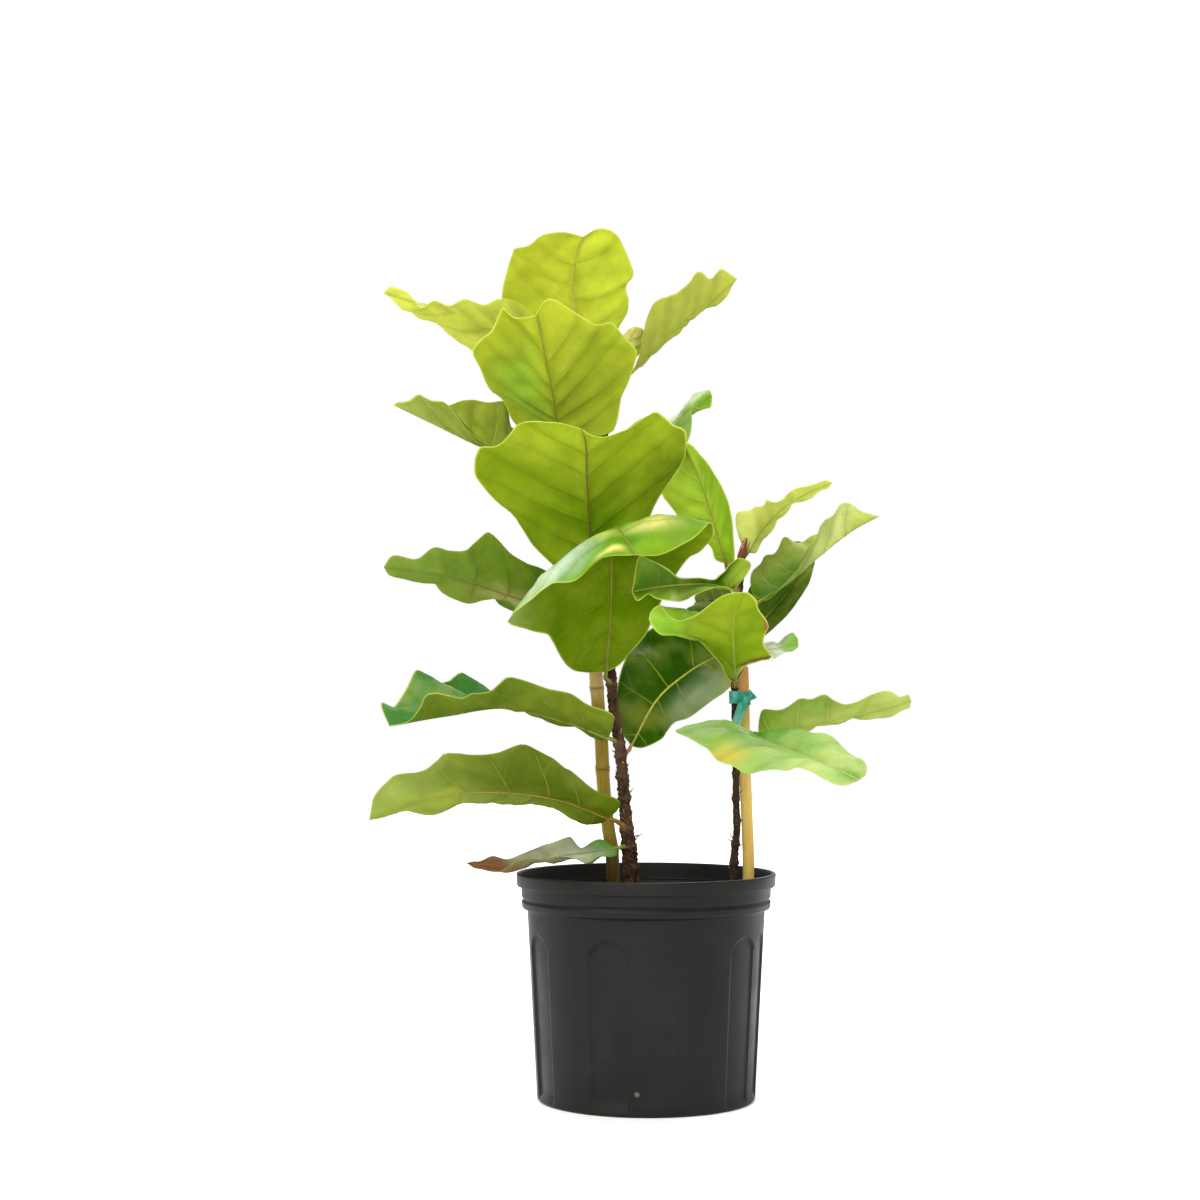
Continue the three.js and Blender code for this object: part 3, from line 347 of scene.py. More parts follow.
class Graph:
    """Short ways to add nodes to a node tree and to join them."""

    def __init__(self, tree: bpy.types.NodeTree) -> None:
        """Works on one tree."""
        self.tree = tree

    def feed(self, node: bpy.types.Node, feeds: dict[str | int, Feed]) -> None:
        """Joins sockets to a node's inputs, by name or number, and sets those given as plain values."""
        for key, value in feeds.items():
            if isinstance(value, bpy.types.NodeSocket):
                self.tree.links.new(value, node.inputs[key])
            else:
                node.inputs[key].default_value = value

    def add(
        self, kind: str, feeds: dict[str | int, Feed] | None = None, **settings: object
    ) -> bpy.types.Node:
        """Adds a node of a type with its properties and its inputs' feeds; gives the node."""
        node = self.tree.nodes.new(kind)
        for key, value in settings.items():
            setattr(node, key, value)
        self.feed(node, feeds or {})
        return node

    def math(self, operation: str, *values: Feed) -> bpy.types.NodeSocket:
        """One Math node on numbers or sockets; gives its output."""
        return self.add("ShaderNodeMath", dict(enumerate(values)), operation=operation).outputs[0]

    def times(self, first: Feed, second: Feed) -> bpy.types.NodeSocket:
        """The product of two values."""
        return self.math("MULTIPLY", first, second)

    def most(self, first: Feed, second: Feed) -> bpy.types.NodeSocket:
        """The larger of two values."""
        return self.math("MAXIMUM", first, second)

    def rest(self, value: Feed) -> bpy.types.NodeSocket:
        """What a value leaves of 1."""
        return self.math("SUBTRACT", 1.0, value)

    def mix(self, share: Feed, first: Feed, second: Feed) -> bpy.types.NodeSocket:
        """Mixes two colours by the share of the second."""
        return self.add("ShaderNodeMix", {0: share, 6: first, 7: second}, data_type="RGBA").outputs[2]

    def span(
        self, value: Feed, low: float, high: float, to_low: float = 0.0, to_high: float = 1.0
    ) -> bpy.types.NodeSocket:
        """Maps low..high smoothly to to_low..to_high, and holds the ends; gives the number."""
        feeds = {0: value, 1: low, 2: high, 3: to_low, 4: to_high}
        return self.add("ShaderNodeMapRange", feeds, interpolation_type="SMOOTHSTEP").outputs[0]

    def noise(
        self, vector: Feed, scale: float, detail: float = 3.0, rough: float = 0.6
    ) -> bpy.types.NodeSocket:
        """A noise texture; gives its number, about 0.5 in the mean."""
        feeds = {"Vector": vector, "Scale": scale, "Detail": detail, "Roughness": rough}
        return self.add("ShaderNodeTexNoise", feeds).outputs["Fac"]

    def attribute(self, name: str) -> bpy.types.Node:
        """The node that reads one of the mesh's attributes."""
        return self.add("ShaderNodeAttribute", attribute_name=name)

    def parts(self, vector: Feed) -> list[bpy.types.NodeSocket]:
        """A vector's x, y and z."""
        return list(self.add("ShaderNodeSeparateXYZ", {0: vector}).outputs)

    def place(self, scale: tuple[float, float, float] = (1, 1, 1)) -> bpy.types.NodeSocket:
        """Object coordinates in metres, stretched by scale."""
        source = self.add("ShaderNodeTexCoord").outputs["Object"]
        return self.add("ShaderNodeMapping", {"Vector": source, "Scale": scale}).outputs[0]

    def bump(self, height: Feed, distance: float, strength: float) -> bpy.types.NodeSocket:
        """The normal for a height from 0 to 1 that stands for distance, in metres."""
        feeds = {"Height": height, "Distance": distance, "Strength": strength}
        return self.add("ShaderNodeBump", feeds).outputs[0]

    def flecks(self, size: float, share: float) -> bpy.types.NodeSocket:
        """The shared fleck pattern: flecks of a size in metres in a share of the places."""
        return Groups.place(self, make_fleck_group, {"Size": size, "Share": share})[0]


def new_group(
    name: str, inputs: dict[str, float], outputs: list[str]
) -> tuple[bpy.types.NodeTree, Graph, list[bpy.types.NodeSocket], bpy.types.Node]:
    """Starts a shader node group of numbers.

    Args:
        name: The group's name.
        inputs: Input names with their default values.
        outputs: Output names.

    Returns:
        The group, its graph, the sockets that its inputs come in by, in order, and its output node.
    """
    tree = bpy.data.node_groups.new(name, "ShaderNodeTree")
    for label, value in inputs.items():
        tree.interface.new_socket(label, in_out="INPUT", socket_type="NodeSocketFloat").default_value = value
    for label in outputs:
        tree.interface.new_socket(label, in_out="OUTPUT", socket_type="NodeSocketFloat")
    graph = Graph(tree)
    source = graph.add("NodeGroupInput")
    sink = graph.add("NodeGroupOutput")
    return tree, graph, [source.outputs[label] for label in inputs], sink


def new_material(name: str) -> tuple[bpy.types.Material, Graph, bpy.types.Node, bpy.types.Node]:
    """Starts a material; gives it with its graph, its Principled shader and its output node."""
    material = bpy.data.materials.new(name)
    material.use_nodes = True
    nodes = material.node_tree.nodes
    shader = next(n for n in nodes if n.type == "BSDF_PRINCIPLED")
    output = next(n for n in nodes if n.type == "OUTPUT_MATERIAL")
    return material, Graph(material.node_tree), shader, output


# ---- finishes -------------------------------------------------------------------------------------


def make_vein_group() -> bpy.types.NodeTree:
    """The vein pattern of a blade, from where a point lies between its veins.

    Formula: a lateral runs where the phase is whole, so its distance is |phase - nearest whole| *
    spacing. Beyond half way out each lateral has two forks, which leave it by 0.5 * ((reach - 0.5) /
    0.5)^1.6 in phase. The net is the border between the cells of a Voronoi pattern in phase and
    distance from the midrib. The crease shade output is the strip beside each lateral and the
    midrib, where the blade's colour is darkened as painted shade in the creases.

    Returns:
        The group, with inputs Phase, Spacing, Rib and Reach and outputs Lateral, Fork, Net, Cell and
        the crease shade, a mask of painted shade.
    """
    feeds = {"Phase": 0.0, "Spacing": 20.0, "Rib": 0.0, "Reach": 0.0}
    tree, g, given, sink = new_group("vein pattern", feeds, ["Lateral", "Fork", "Net", "Cell", "CreaseShade"])
    phase, spacing, rib, reach = given
    shifted = g.math("FRACT", g.math("ADD", phase, 0.5))
    off = g.math("ABSOLUTE", g.math("SUBTRACT", shifted, 0.5))
    gap = g.times(off, spacing)
    width = g.span(reach, 0.0, 1.0, 0.95, 0.3)
    lateral = g.rest(g.span(g.math("DIVIDE", gap, width), 0.35, 1.15))
    outer = g.most(g.math("DIVIDE", g.math("SUBTRACT", reach, 0.5), 0.5), 0.0)
    spread = g.times(g.math("POWER", outer, 1.6), 0.5)
    fork_gap = g.times(g.math("ABSOLUTE", g.math("SUBTRACT", off, spread)), spacing)
    fork = g.rest(g.span(fork_gap, 0.2, 0.6))
    where = g.add("ShaderNodeCombineXYZ", {0: g.times(phase, 4.3), 1: g.math("DIVIDE", rib, 6.5)}).outputs[0]
    cells = g.add("ShaderNodeTexVoronoi", {"Vector": where, "Scale": 1.0}, voronoi_dimensions="2D",
                  feature="DISTANCE_TO_EDGE").outputs["Distance"]
    g.feed(sink, {
        "Lateral": g.times(lateral, g.span(reach, 0.86, 0.97, 1.0, 0.15)),
        "Fork": g.times(fork, g.span(reach, 0.5, 0.62)),
        "Net": g.rest(g.span(cells, 0.02, 0.1)),
        "Cell": g.span(cells, 0.0, 0.35),
        "CreaseShade": g.most(g.span(gap, 0.4, 7.0, 1.0, 0.0), g.span(rib, 1.0, 9.0, 1.0, 0.0)),
    })
    return tree


def make_fleck_group() -> bpy.types.NodeTree:
    """Sparse flecks, such as dust and scale marks leave.

    Formula: a fleck is the middle of a Voronoi cell, kept where the cell's own number is below the
    share.

    Returns:
        The group, with inputs Size and Share and the output Fleck.
    """
    tree, g, (size, share), sink = new_group("flecks", {"Size": 0.004, "Share": 0.1}, ["Fleck"])
    place = g.add("ShaderNodeTexCoord").outputs["Object"]
    cell = g.add("ShaderNodeTexVoronoi", {"Vector": place, "Scale": g.math("DIVIDE", 1.0, size)})
    chance = g.add("ShaderNodeSeparateColor", {0: cell.outputs["Color"]}).outputs[0]
    spot = g.rest(g.span(cell.outputs["Distance"], 0.12, 0.3))
    g.feed(sink, {"Fleck": g.times(g.math("LESS_THAN", chance, share), spot)})
    return tree


class Groups:
    """The node groups that several finishes share, each made when it is first used."""

    made: dict[Callable, bpy.types.NodeTree] = {}

    @classmethod
    def place(
        cls, graph: Graph, maker: Callable[[], bpy.types.NodeTree], feeds: dict[str, Feed]
    ) -> bpy.types.bpy_prop_collection:
        """Puts the group that a maker builds into a material's graph; gives its outputs."""
        if maker not in cls.made:
            cls.made[maker] = maker()
        return graph.add("ShaderNodeGroup", feeds, node_tree=cls.made[maker]).outputs


@dataclass(frozen=True)
class Blade:
    """A leathery leaf blade: glossy above, matt below, and lit through by light from behind."""

    name: str = "leaf blade"
    shade: str = "566a00"
    sun: str = "d8d840"
    # painted shade: the dark green that the creases beside the veins are tinted with
    crease: str = "4c5e00"
    cell: str = "dce45a"
    fleck: str = "8a7a20"
    dry: tuple[str, str] = ("5a301a", "98683c")
    # the pale margin colour: partly the blade's own pale edge, partly a painted glow of light caught on the
    # rim
    rim: str = "dce070"
    roughness: float = 0.62
    coat_roughness: float = 0.27
    see_through: float = 0.4

    def make(self) -> bpy.types.Material:
        """Builds the material. It reads the leaf's own attributes for its colours and veins."""
        material, g, shader, output = new_material(self.name)
        tint, vein_tint = g.attribute("tint").outputs, g.attribute("vein_tint").outputs
        upper = g.attribute("upper").outputs["Fac"]
        phase, spacing, rib = g.parts(g.attribute("veins").outputs["Vector"])
        _, reach, edge = g.parts(g.attribute("place").outputs["Vector"])
        feeds = {"Phase": phase, "Spacing": spacing, "Rib": rib, "Reach": reach}
        pattern = Groups.place(g, make_vein_group, feeds)
        where = g.place()
        mottle = g.noise(where, 34.0, 4.0)
        cloud = g.noise(where, 15.0, 3.0, 0.55)
        fresh = g.span(tint["Alpha"], 0.0, 1.0, 1.0, 0.1)

        colour = tint["Color"]
        layers = (
            (g.span(mottle, 0.35, 0.75, 0.0, 0.45), 0.6, self.shade),
            (g.span(cloud, 0.4, 0.7, 0.0, 0.42), 0.5, self.sun),
            # painted shade: the creases beside the laterals and the midrib are darkened
            (g.times(pattern["CreaseShade"], 0.28), 0.6, self.crease),
            (g.times(pattern["Cell"], g.span(upper, 0.0, 1.0, 0.06, 0.03)), 0.5, self.cell),
            (g.times(g.flecks(0.0045, 0.12), 0.18), 1.0, self.fleck),
        )
        for share, strength, other in layers:
            colour = g.mix(share, colour, g.mix(strength, colour, linear(other)))
        net = g.times(pattern["Net"], g.span(upper, 0.0, 1.0, 0.13, 0.05))
        lateral = g.times(pattern["Lateral"], g.span(mottle, 0.35, 0.65, 0.4, 0.75))
        for vein in (g.times(pattern["Fork"], 0.25), lateral, g.rest(g.span(rib, 0.5, 1.4))):
            net = g.most(net, vein)
        colour = g.mix(net, colour, vein_tint["Color"])
        brown = g.mix(g.noise(where, 130.0, 5.0, 0.65), *(linear(dry) for dry in self.dry))
        colour = g.mix(tint["Alpha"], colour, brown)
        # the pale margin: partly the blade's own edge, partly a painted glow of light on the rim; each leaf's
        # strength comes in the vein tint's alpha
        hem = g.times(g.span(edge, 0.3, 1.8, 1.0, 0.0), g.span(mottle, 0.35, 0.6, 0.45, 0.85))
        colour = g.mix(g.times(g.times(hem, vein_tint["Alpha"]), fresh), colour, linear(self.rim))

        gloss = g.times(g.span(upper, 0.3, 0.7, 0.04, 0.5), fresh)
        height = g.times(pattern["Cell"], g.span(upper, 0.0, 1.0, -0.5, 0.4))
        height = g.math("ADD", height, g.times(g.noise(where, 420.0, 2.0), 0.3))
        g.feed(shader, {
            "Base Color": colour,
            "Roughness": g.math("ADD", self.roughness, g.times(g.math("SUBTRACT", mottle, 0.5), 0.25)),
            "Coat Weight": g.times(gloss, g.span(cloud, 0.42, 0.62, 0.2, 1.0)),
            "Coat Roughness": self.coat_roughness, "Specular IOR Level": 0.0,
            "Normal": g.bump(height, 0.00012, 0.7),
        })
        glow = g.add("ShaderNodeGamma", {0: colour, 1: 0.85}).outputs[0]
        through = g.add("ShaderNodeBsdfTranslucent", {"Color": glow}).outputs[0]
        share = g.times(g.rest(g.times(tint["Alpha"], 0.7)), self.see_through)
        mixed = g.add("ShaderNodeMixShader", {0: share, 1: shader.outputs[0], 2: through})
        g.feed(output, {"Surface": mixed.outputs[0]})
        return material


@dataclass(frozen=True)
class Stalk:
    """A leaf's stalk and midrib: smooth, green to reddish brown, with short streaks."""

    name: str = "leaf stalk"
    streak: str = "5a4a1c"
    roughness: float = 0.45

    def make(self) -> bpy.types.Material:
        """Builds the material. It reads the colour that the leaf gives its stalk."""
        material, g, shader, _ = new_material(self.name)
        streak = g.noise(g.place((1, 1, 0.35)), 260.0, 4.0)
        share = g.span(streak, 0.35, 0.75, 0.0, 0.5)
        g.feed(shader, {
            "Base Color": g.mix(share, g.attribute("tint").outputs["Color"], linear(self.streak)),
            "Roughness": g.span(streak, 0.2, 0.8, self.roughness - 0.1, self.roughness + 0.15),
            "Normal": g.bump(streak, 0.0003, 0.7),
        })
        return material


@dataclass(frozen=True)
class Bark:
    """Young woody bark: dark, streaked, scaly, paler on the rings of old leaf scars."""

    name: str
    dark: str
    light: str
    scar: str
    fleck: str = "94785a"
    roughness: float = 0.82

    def make(self) -> bpy.types.Material:
        """Builds the material. It reads the attribute ring, 1 on a leaf scar."""
        material, g, shader, _ = new_material(self.name)
        streak = g.noise(g.place((1, 1, 0.3)), 330.0, 6.0, 0.68)
        patchy = g.noise(g.place(), 55.0, 4.0)
        fleck = g.flecks(0.0028, 0.3)
        ring = g.attribute("ring").outputs["Fac"]
        colour = g.mix(g.span(streak, 0.36, 0.68), linear(self.dark), linear(self.light))
        colour = g.mix(g.span(patchy, 0.42, 0.7, 0.0, 0.55), colour, linear(self.scar))
        colour = g.mix(g.times(ring, 0.5), colour, linear(self.scar))
        g.feed(shader, {
            "Base Color": g.mix(g.times(fleck, 0.6), colour, linear(self.fleck)),
            "Roughness": g.span(streak, 0.2, 0.8, self.roughness + 0.1, self.roughness - 0.2),
            "Normal": g.bump(g.math("ADD", streak, g.times(fleck, 0.5)), 0.0009, 0.9),
            "Specular IOR Level": 0.12,
        })
        return material


@dataclass(frozen=True)
class Wood:
    """Cane or sawn wood: fibres that run up the stake, darker near the soil as painted shade of the low
    leaves, with its own top.
    """

    name: str
    light: str
    dark: str
    # the stain of a cane's node rings, also the colour of the painted shade near the soil
    stain_and_shade: str
    top: str
    roughness: float = 0.5
    fibre: float = 0.00015

    def make(self) -> bpy.types.Material:
        """Builds the material. It reads the attribute ring, 1 on a node ring of a cane."""
        material, g, shader, _ = new_material(self.name)
        fibres = g.noise(g.place((1, 1, 0.02)), 900.0)
        broad = g.noise(g.place((1, 1, 0.12)), 90.0, 4.0)
        ring = g.attribute("ring").outputs["Fac"]
        height = g.parts(g.place())[2]
        # painted shade: the stake is darkened towards the soil, where the low leaves shade it
        foot_shade = g.times(g.span(height, 0.2, 0.3, 0.85, 0.0), g.span(broad, 0.3, 0.6, 0.55, 1.0))
        colour = linear(self.light)
        layers = (
            (g.span(fibres, 0.35, 0.7, 0.0, 0.4), self.dark),
            (g.span(height, 0.385, 0.415, 0.0, 0.8), self.top),
            (g.span(broad, 0.4, 0.75, 0.0, 0.45), self.dark),
            (g.times(ring, 0.55), self.stain_and_shade), (foot_shade, self.stain_and_shade),
        )
        for share, other in layers:
            colour = g.mix(share, colour, linear(other))
        g.feed(shader, {
            "Base Color": colour,
            "Roughness": g.span(broad, 0.3, 0.7, self.roughness - 0.08, self.roughness + 0.15),
            "Normal": g.bump(fibres, self.fibre, 0.8),
            "Specular IOR Level": 0.25,
        })
        return material


@dataclass(frozen=True)
class Tape:
    """Thin, stretchy, half see-through plastic tape with fine stretch lines and paler ends."""

    name: str = "plant tape"
    colour: str = "1f9c86"
    pale: str = "86d4bc"
    see_through: float = 0.35

    def make(self) -> bpy.types.Material:
        """Builds the material."""
        material, g, shader, output = new_material(self.name)
        cloud = g.noise(g.place(), 120.0)
        low = g.span(g.parts(g.place())[2], 0.37, 0.395, 0.85, 0.0)
        pale = g.most(low, g.span(cloud, 0.35, 0.75, 0.0, 0.6))
        colour = g.mix(pale, linear(self.colour), linear(self.pale))
        normal = g.bump(g.noise(g.place((1, 1, 6)), 260.0), 0.0003, 0.8)
        rough = g.span(cloud, 0.2, 0.8, 0.22, 0.4)
        g.feed(shader, {"Base Color": colour, "Roughness": rough, "Normal": normal})
        through = g.add("ShaderNodeBsdfTranslucent", {"Color": colour, "Normal": normal}).outputs[0]
        mixed = g.add("ShaderNodeMixShader", {0: self.see_through, 1: shader.outputs[0], 2: through})
        g.feed(output, {"Surface": mixed.outputs[0]})
        return material


@dataclass(frozen=True)
class Sheath:
    """Dry papery scales: red-brown, ribbed, with a pale torn edge."""

    name: str
    dark: str
    light: str
    edge: str
    roughness: float = 0.6

    def make(self) -> bpy.types.Material:
        """Builds the material. It reads the attribute ring, 1 along a scale's edge."""
        material, g, shader, _ = new_material(self.name)
        ribs = g.noise(g.place((1, 1, 0.12)), 800.0, 4.0, 0.65)
        cloud = g.noise(g.place(), 160.0)
        colour = g.mix(g.span(ribs, 0.35, 0.7), linear(self.dark), linear(self.light))
        colour = g.mix(g.span(cloud, 0.5, 0.8, 0.0, 0.5), colour, linear(self.edge))
        g.feed(shader, {
            "Base Color": g.mix(g.attribute("ring").outputs["Fac"], colour, linear(self.edge)),
            "Roughness": g.span(ribs, 0.2, 0.8, self.roughness, self.roughness + 0.2),
            "Normal": g.bump(ribs, 0.0004, 0.8),
        })
        return material


@dataclass(frozen=True)
class PotPlastic:
    """Moulded black plastic: satin, a little dusty, with scuffs and pale flecks."""

    name: str = "pot plastic"
    colour: str = "141312"
    dust: str = "46403a"
    fleck: str = "9a978d"
    roughness: float = 0.42

    def make(self) -> bpy.types.Material:
        """Builds the material."""
        material, g, shader, _ = new_material(self.name)
        where = g.place()
        cloud = g.noise(where, 14.0, 5.0, 0.62)
        scuff = g.noise(g.place((1, 1, 0.06)), 260.0)
        worn = g.times(g.span(scuff, 0.58, 0.74), g.span(cloud, 0.45, 0.7))
        colour = g.mix(g.span(cloud, 0.35, 0.8, 0.0, 0.12), linear(self.colour), linear(self.dust))
        colour = g.mix(g.times(worn, 0.18), colour, linear(self.dust))
        rough = g.span(cloud, 0.25, 0.75, self.roughness - 0.08, self.roughness + 0.12)
        g.feed(shader, {
            "Base Color": g.mix(g.times(g.flecks(0.011, 0.018), 0.3), colour, linear(self.fleck)),
            "Roughness": g.math("ADD", rough, g.times(worn, 0.15)),
            "Normal": g.bump(g.noise(where, 1500.0, 2.0, 0.5), 0.00008, 0.6),
            "Specular IOR Level": 0.15,
        })
        return material


@dataclass(frozen=True)
class Crumbs:
    """A loose matt mix such as peat, bark chips or perlite."""

    name: str
    dark: str
    light: str
    scale: float
    depth: float
    roughness: float = 0.92

    def make(self) -> bpy.types.Material:
        """Builds the material."""
        material, g, shader, _ = new_material(self.name)
        grain = g.noise(g.place(), self.scale, 6.0, 0.7)
        broad = g.noise(g.place(), self.scale / 9)
        colour = g.mix(g.span(grain, 0.34, 0.7), linear(self.dark), linear(self.light))
        g.feed(shader, {
            "Base Color": g.mix(g.span(broad, 0.45, 0.75, 0.0, 0.5), colour, linear(self.dark)),
            "Roughness": g.span(grain, 0.3, 0.7, self.roughness, self.roughness - 0.15),
            "Normal": g.bump(grain, self.depth, 1.0),
        })
        return material


# ---- pot and soil ---------------------------------------------------------------------------------


def filleted(corners: list[tuple[float, float, float]], steps: int = 5) -> np.ndarray:
    """A profile with rounded corners.

    Formula: each corner gives way to the quadratic curve from the point at its reach before it to
    the point at its reach after it, drawn towards the corner.

    Args:
        corners: Corners (radius, height, reach).
        steps: Points on each rounded corner.

    Returns:
        The profile's points (radius, height).
    """
    given = np.asarray(corners, float)
    p = given[:, :2]
    reach = given[:, 2:]
    before = p + unit(np.vstack([p[:1], p[:-1]]) - p) * reach
    after = p + unit(np.vstack([p[1:], p[-1:]]) - p) * reach
    w = np.linspace(0, 1, steps)[None, :, None]
    curves = (1 - w) ** 2 * before[:, None] + 2 * w * (1 - w) * p[:, None] + w**2 * after[:, None]
    points = curves.reshape(-1, 2)
    moved = np.linalg.norm(np.diff(points, axis=0), axis=1) > 1e-6
    return points[np.concatenate([[True], moved])]


def resampled(points: np.ndarray, shares: np.ndarray) -> np.ndarray:
    """A polyline's own points joined by more of its points, at lengths along it.

    Args:
        points: The polyline's points, one a row.
        shares: Lengths along it at which points are added.

    Returns:
        All points in order.
    """
    length = lengths(points)
    where = np.unique(np.round(np.concatenate([length, shares[(shares > 0) & (shares < length[-1])]]), 4))
    return between(where, length, points)


@dataclass
class Pot:
    """The round moulded nursery pot, with its bands under the rim and its arched flutes."""

    height: float = 226
    base_radius: float = 108.8
    knee_z: float = 176
    shoulder_radius: float = 118.5
    shoulder_z: float = 189
    wall: float = 2.3
    floor: float = 3
    rim_radius: float = 129.6
    rim_inner: float = 125.6
    lip_bottom: float = 213
    band_radius: float = 124.3
    flute_angles: tuple[float, ...] = (54, 74, -19.5, -67, 147.5, -165)
    flute_depth: float = 2.8
    flute_half: float = 11
    flute_edge: float = 2.2
    arch_top: float = 170
    arch_drop: float = 16
    arch_edge: float = 4.5
    drains: int = 6
    drain_radius: float = 9
    drain_inset: float = 14
    finish: PotPlastic = field(default_factory=PotPlastic)

    def radius_at(self, z: np.ndarray) -> np.ndarray:
        """The wall's outer radius: it grows evenly from the base to the shoulder."""
        return self.base_radius + (self.shoulder_radius - self.base_radius) * z / self.shoulder_z

    def inner_radii(self) -> tuple[float, float]:
        """The inner radius at the floor and at the knee, clear of the flutes."""
        deep = self.wall + self.flute_depth
        return float(self.radius_at(self.floor)) - deep, float(self.radius_at(self.knee_z)) - deep

    def profile(self) -> np.ndarray:
        """The outline of the wall's section, from the base's middle round the rim to the floor's."""
        foot, knee = self.inner_radii()
        corners = [
            (0, 0, 0), (self.base_radius, 0, 4), (self.shoulder_radius, self.shoulder_z, 1.0),
            (123.6, 191.4, 1.0), (124.5, 197.6, 0.9), (122.3, 200, 0.8), (self.band_radius, 202.4, 0.7),
            (124.7, self.lip_bottom - 0.6, 0.6), (128.9, self.lip_bottom + 0.2, 0.9),
            (self.rim_radius, self.height, 1.9), (self.rim_inner, self.height, 1.6),
            (self.rim_inner - 2.2, self.lip_bottom - 3, 2), (self.band_radius - self.wall, 207, 2),
            (self.shoulder_radius - self.wall, self.shoulder_z, 3), (knee, self.knee_z, 3),
            (foot, self.floor, 4), (0, self.floor, 0),
        ]
        points = filleted(corners)
        slant = math.hypot(self.shoulder_radius - self.base_radius, self.shoulder_z) / self.shoulder_z
        heights = np.arange(self.arch_top - self.arch_drop - 12, self.arch_top + 4, 0.9)
        arch = self.base_radius + heights * slant
        return resampled(points, np.concatenate([np.arange(0, 700, 9.0), arch]))

    def columns(self) -> np.ndarray:
        """Angles of the grid in degrees: every 3, and every 0.5 round each flute."""
        near = np.arange(-self.flute_half - 1.5, self.flute_half + 1.6, 0.5)
        fine = (np.asarray(self.flute_angles)[:, None] + near).ravel()
        coarse = np.arange(-180, 180, 3.0)
        far = np.abs(coarse[:, None] - fine).min(axis=1) > 0.6
        return np.unique(np.round(np.concatenate([coarse[far], (fine + 180) % 360 - 180]), 3))

    def pressed_in(self, degrees: np.ndarray, z: np.ndarray) -> np.ndarray:
        """How deep the flutes press the wall in.

        Formula: for each flute, its depth inside the half width and below an arch that drops by the
        square of the distance from the flute's middle, with smooth steps at both borders.

        Args:
            degrees: Angles from straight ahead towards the right.
            z: Heights.

        Returns:
            The depth at each point.
        """
        deepest = np.zeros(np.broadcast(degrees, z).shape)
        for middle in self.flute_angles:
            off = np.abs((degrees - middle + 180) % 360 - 180)
            inside = 1 - smooth_step(off, self.flute_half - self.flute_edge, self.flute_half)
            top = self.arch_top - self.arch_drop * (off / self.flute_half) ** 2
            below = 1 - smooth_step(z, top - self.arch_edge, top)
            deepest = np.maximum(deepest, self.flute_depth * inside * below)
        return deepest

    def build(self) -> bpy.types.Object:
        """Turns the profile round the axis, presses the flutes in and cuts the drain holes."""
        profile = self.profile()
        degrees = self.columns()
        r, z = profile[:, :1], profile[:, 1:]
        outside = (np.abs(r - self.radius_at(z)) < 0.6) & (z > 0.5) & (z < self.arch_top + 4)
        foot = np.clip((z - 4) / 4, 0, 1)
        r = r - np.where(outside, self.pressed_in(degrees[None], z) * foot, 0)
        turn = np.radians(degrees)[None]
        shell = Shell()
        shell.grid(np.stack([r * np.sin(turn), -r * np.cos(turn), z + 0 * turn], axis=-1), wrap=True)
        pot = shell.build("nursery_pot", [self.finish.make()], merge=1e-6)
        self._cut_drains(pot)
        return pot

    def _cut_drains(self, pot: bpy.types.Object) -> None:
        """Cuts the round drain holes out of the floor."""
        cutters = Shell()
        for k in range(self.drains):
            angle = (k + 0.5) / self.drains * 2 * math.pi
            middle = np.array([math.cos(angle), math.sin(angle), 0]) * (self.base_radius - self.drain_inset)
            path = middle + np.linspace([0, 0, -5], [0, 0, 12], 4)
            cutters.tube(path, np.full(4, self.drain_radius), RIGHT, 32)
        tool = cutters.build("drain_cutters", [])
        cut = pot.modifiers.new("drain holes", "BOOLEAN")
        cut.operation = "DIFFERENCE"
        cut.solver = "EXACT"
        cut.object = tool
        graph = bpy.context.evaluated_depsgraph_get()
        mesh = bpy.data.meshes.new_from_object(pot.evaluated_get(graph))
        pot.modifiers.clear()
        pot.data = mesh
        bpy.data.objects.remove(tool)


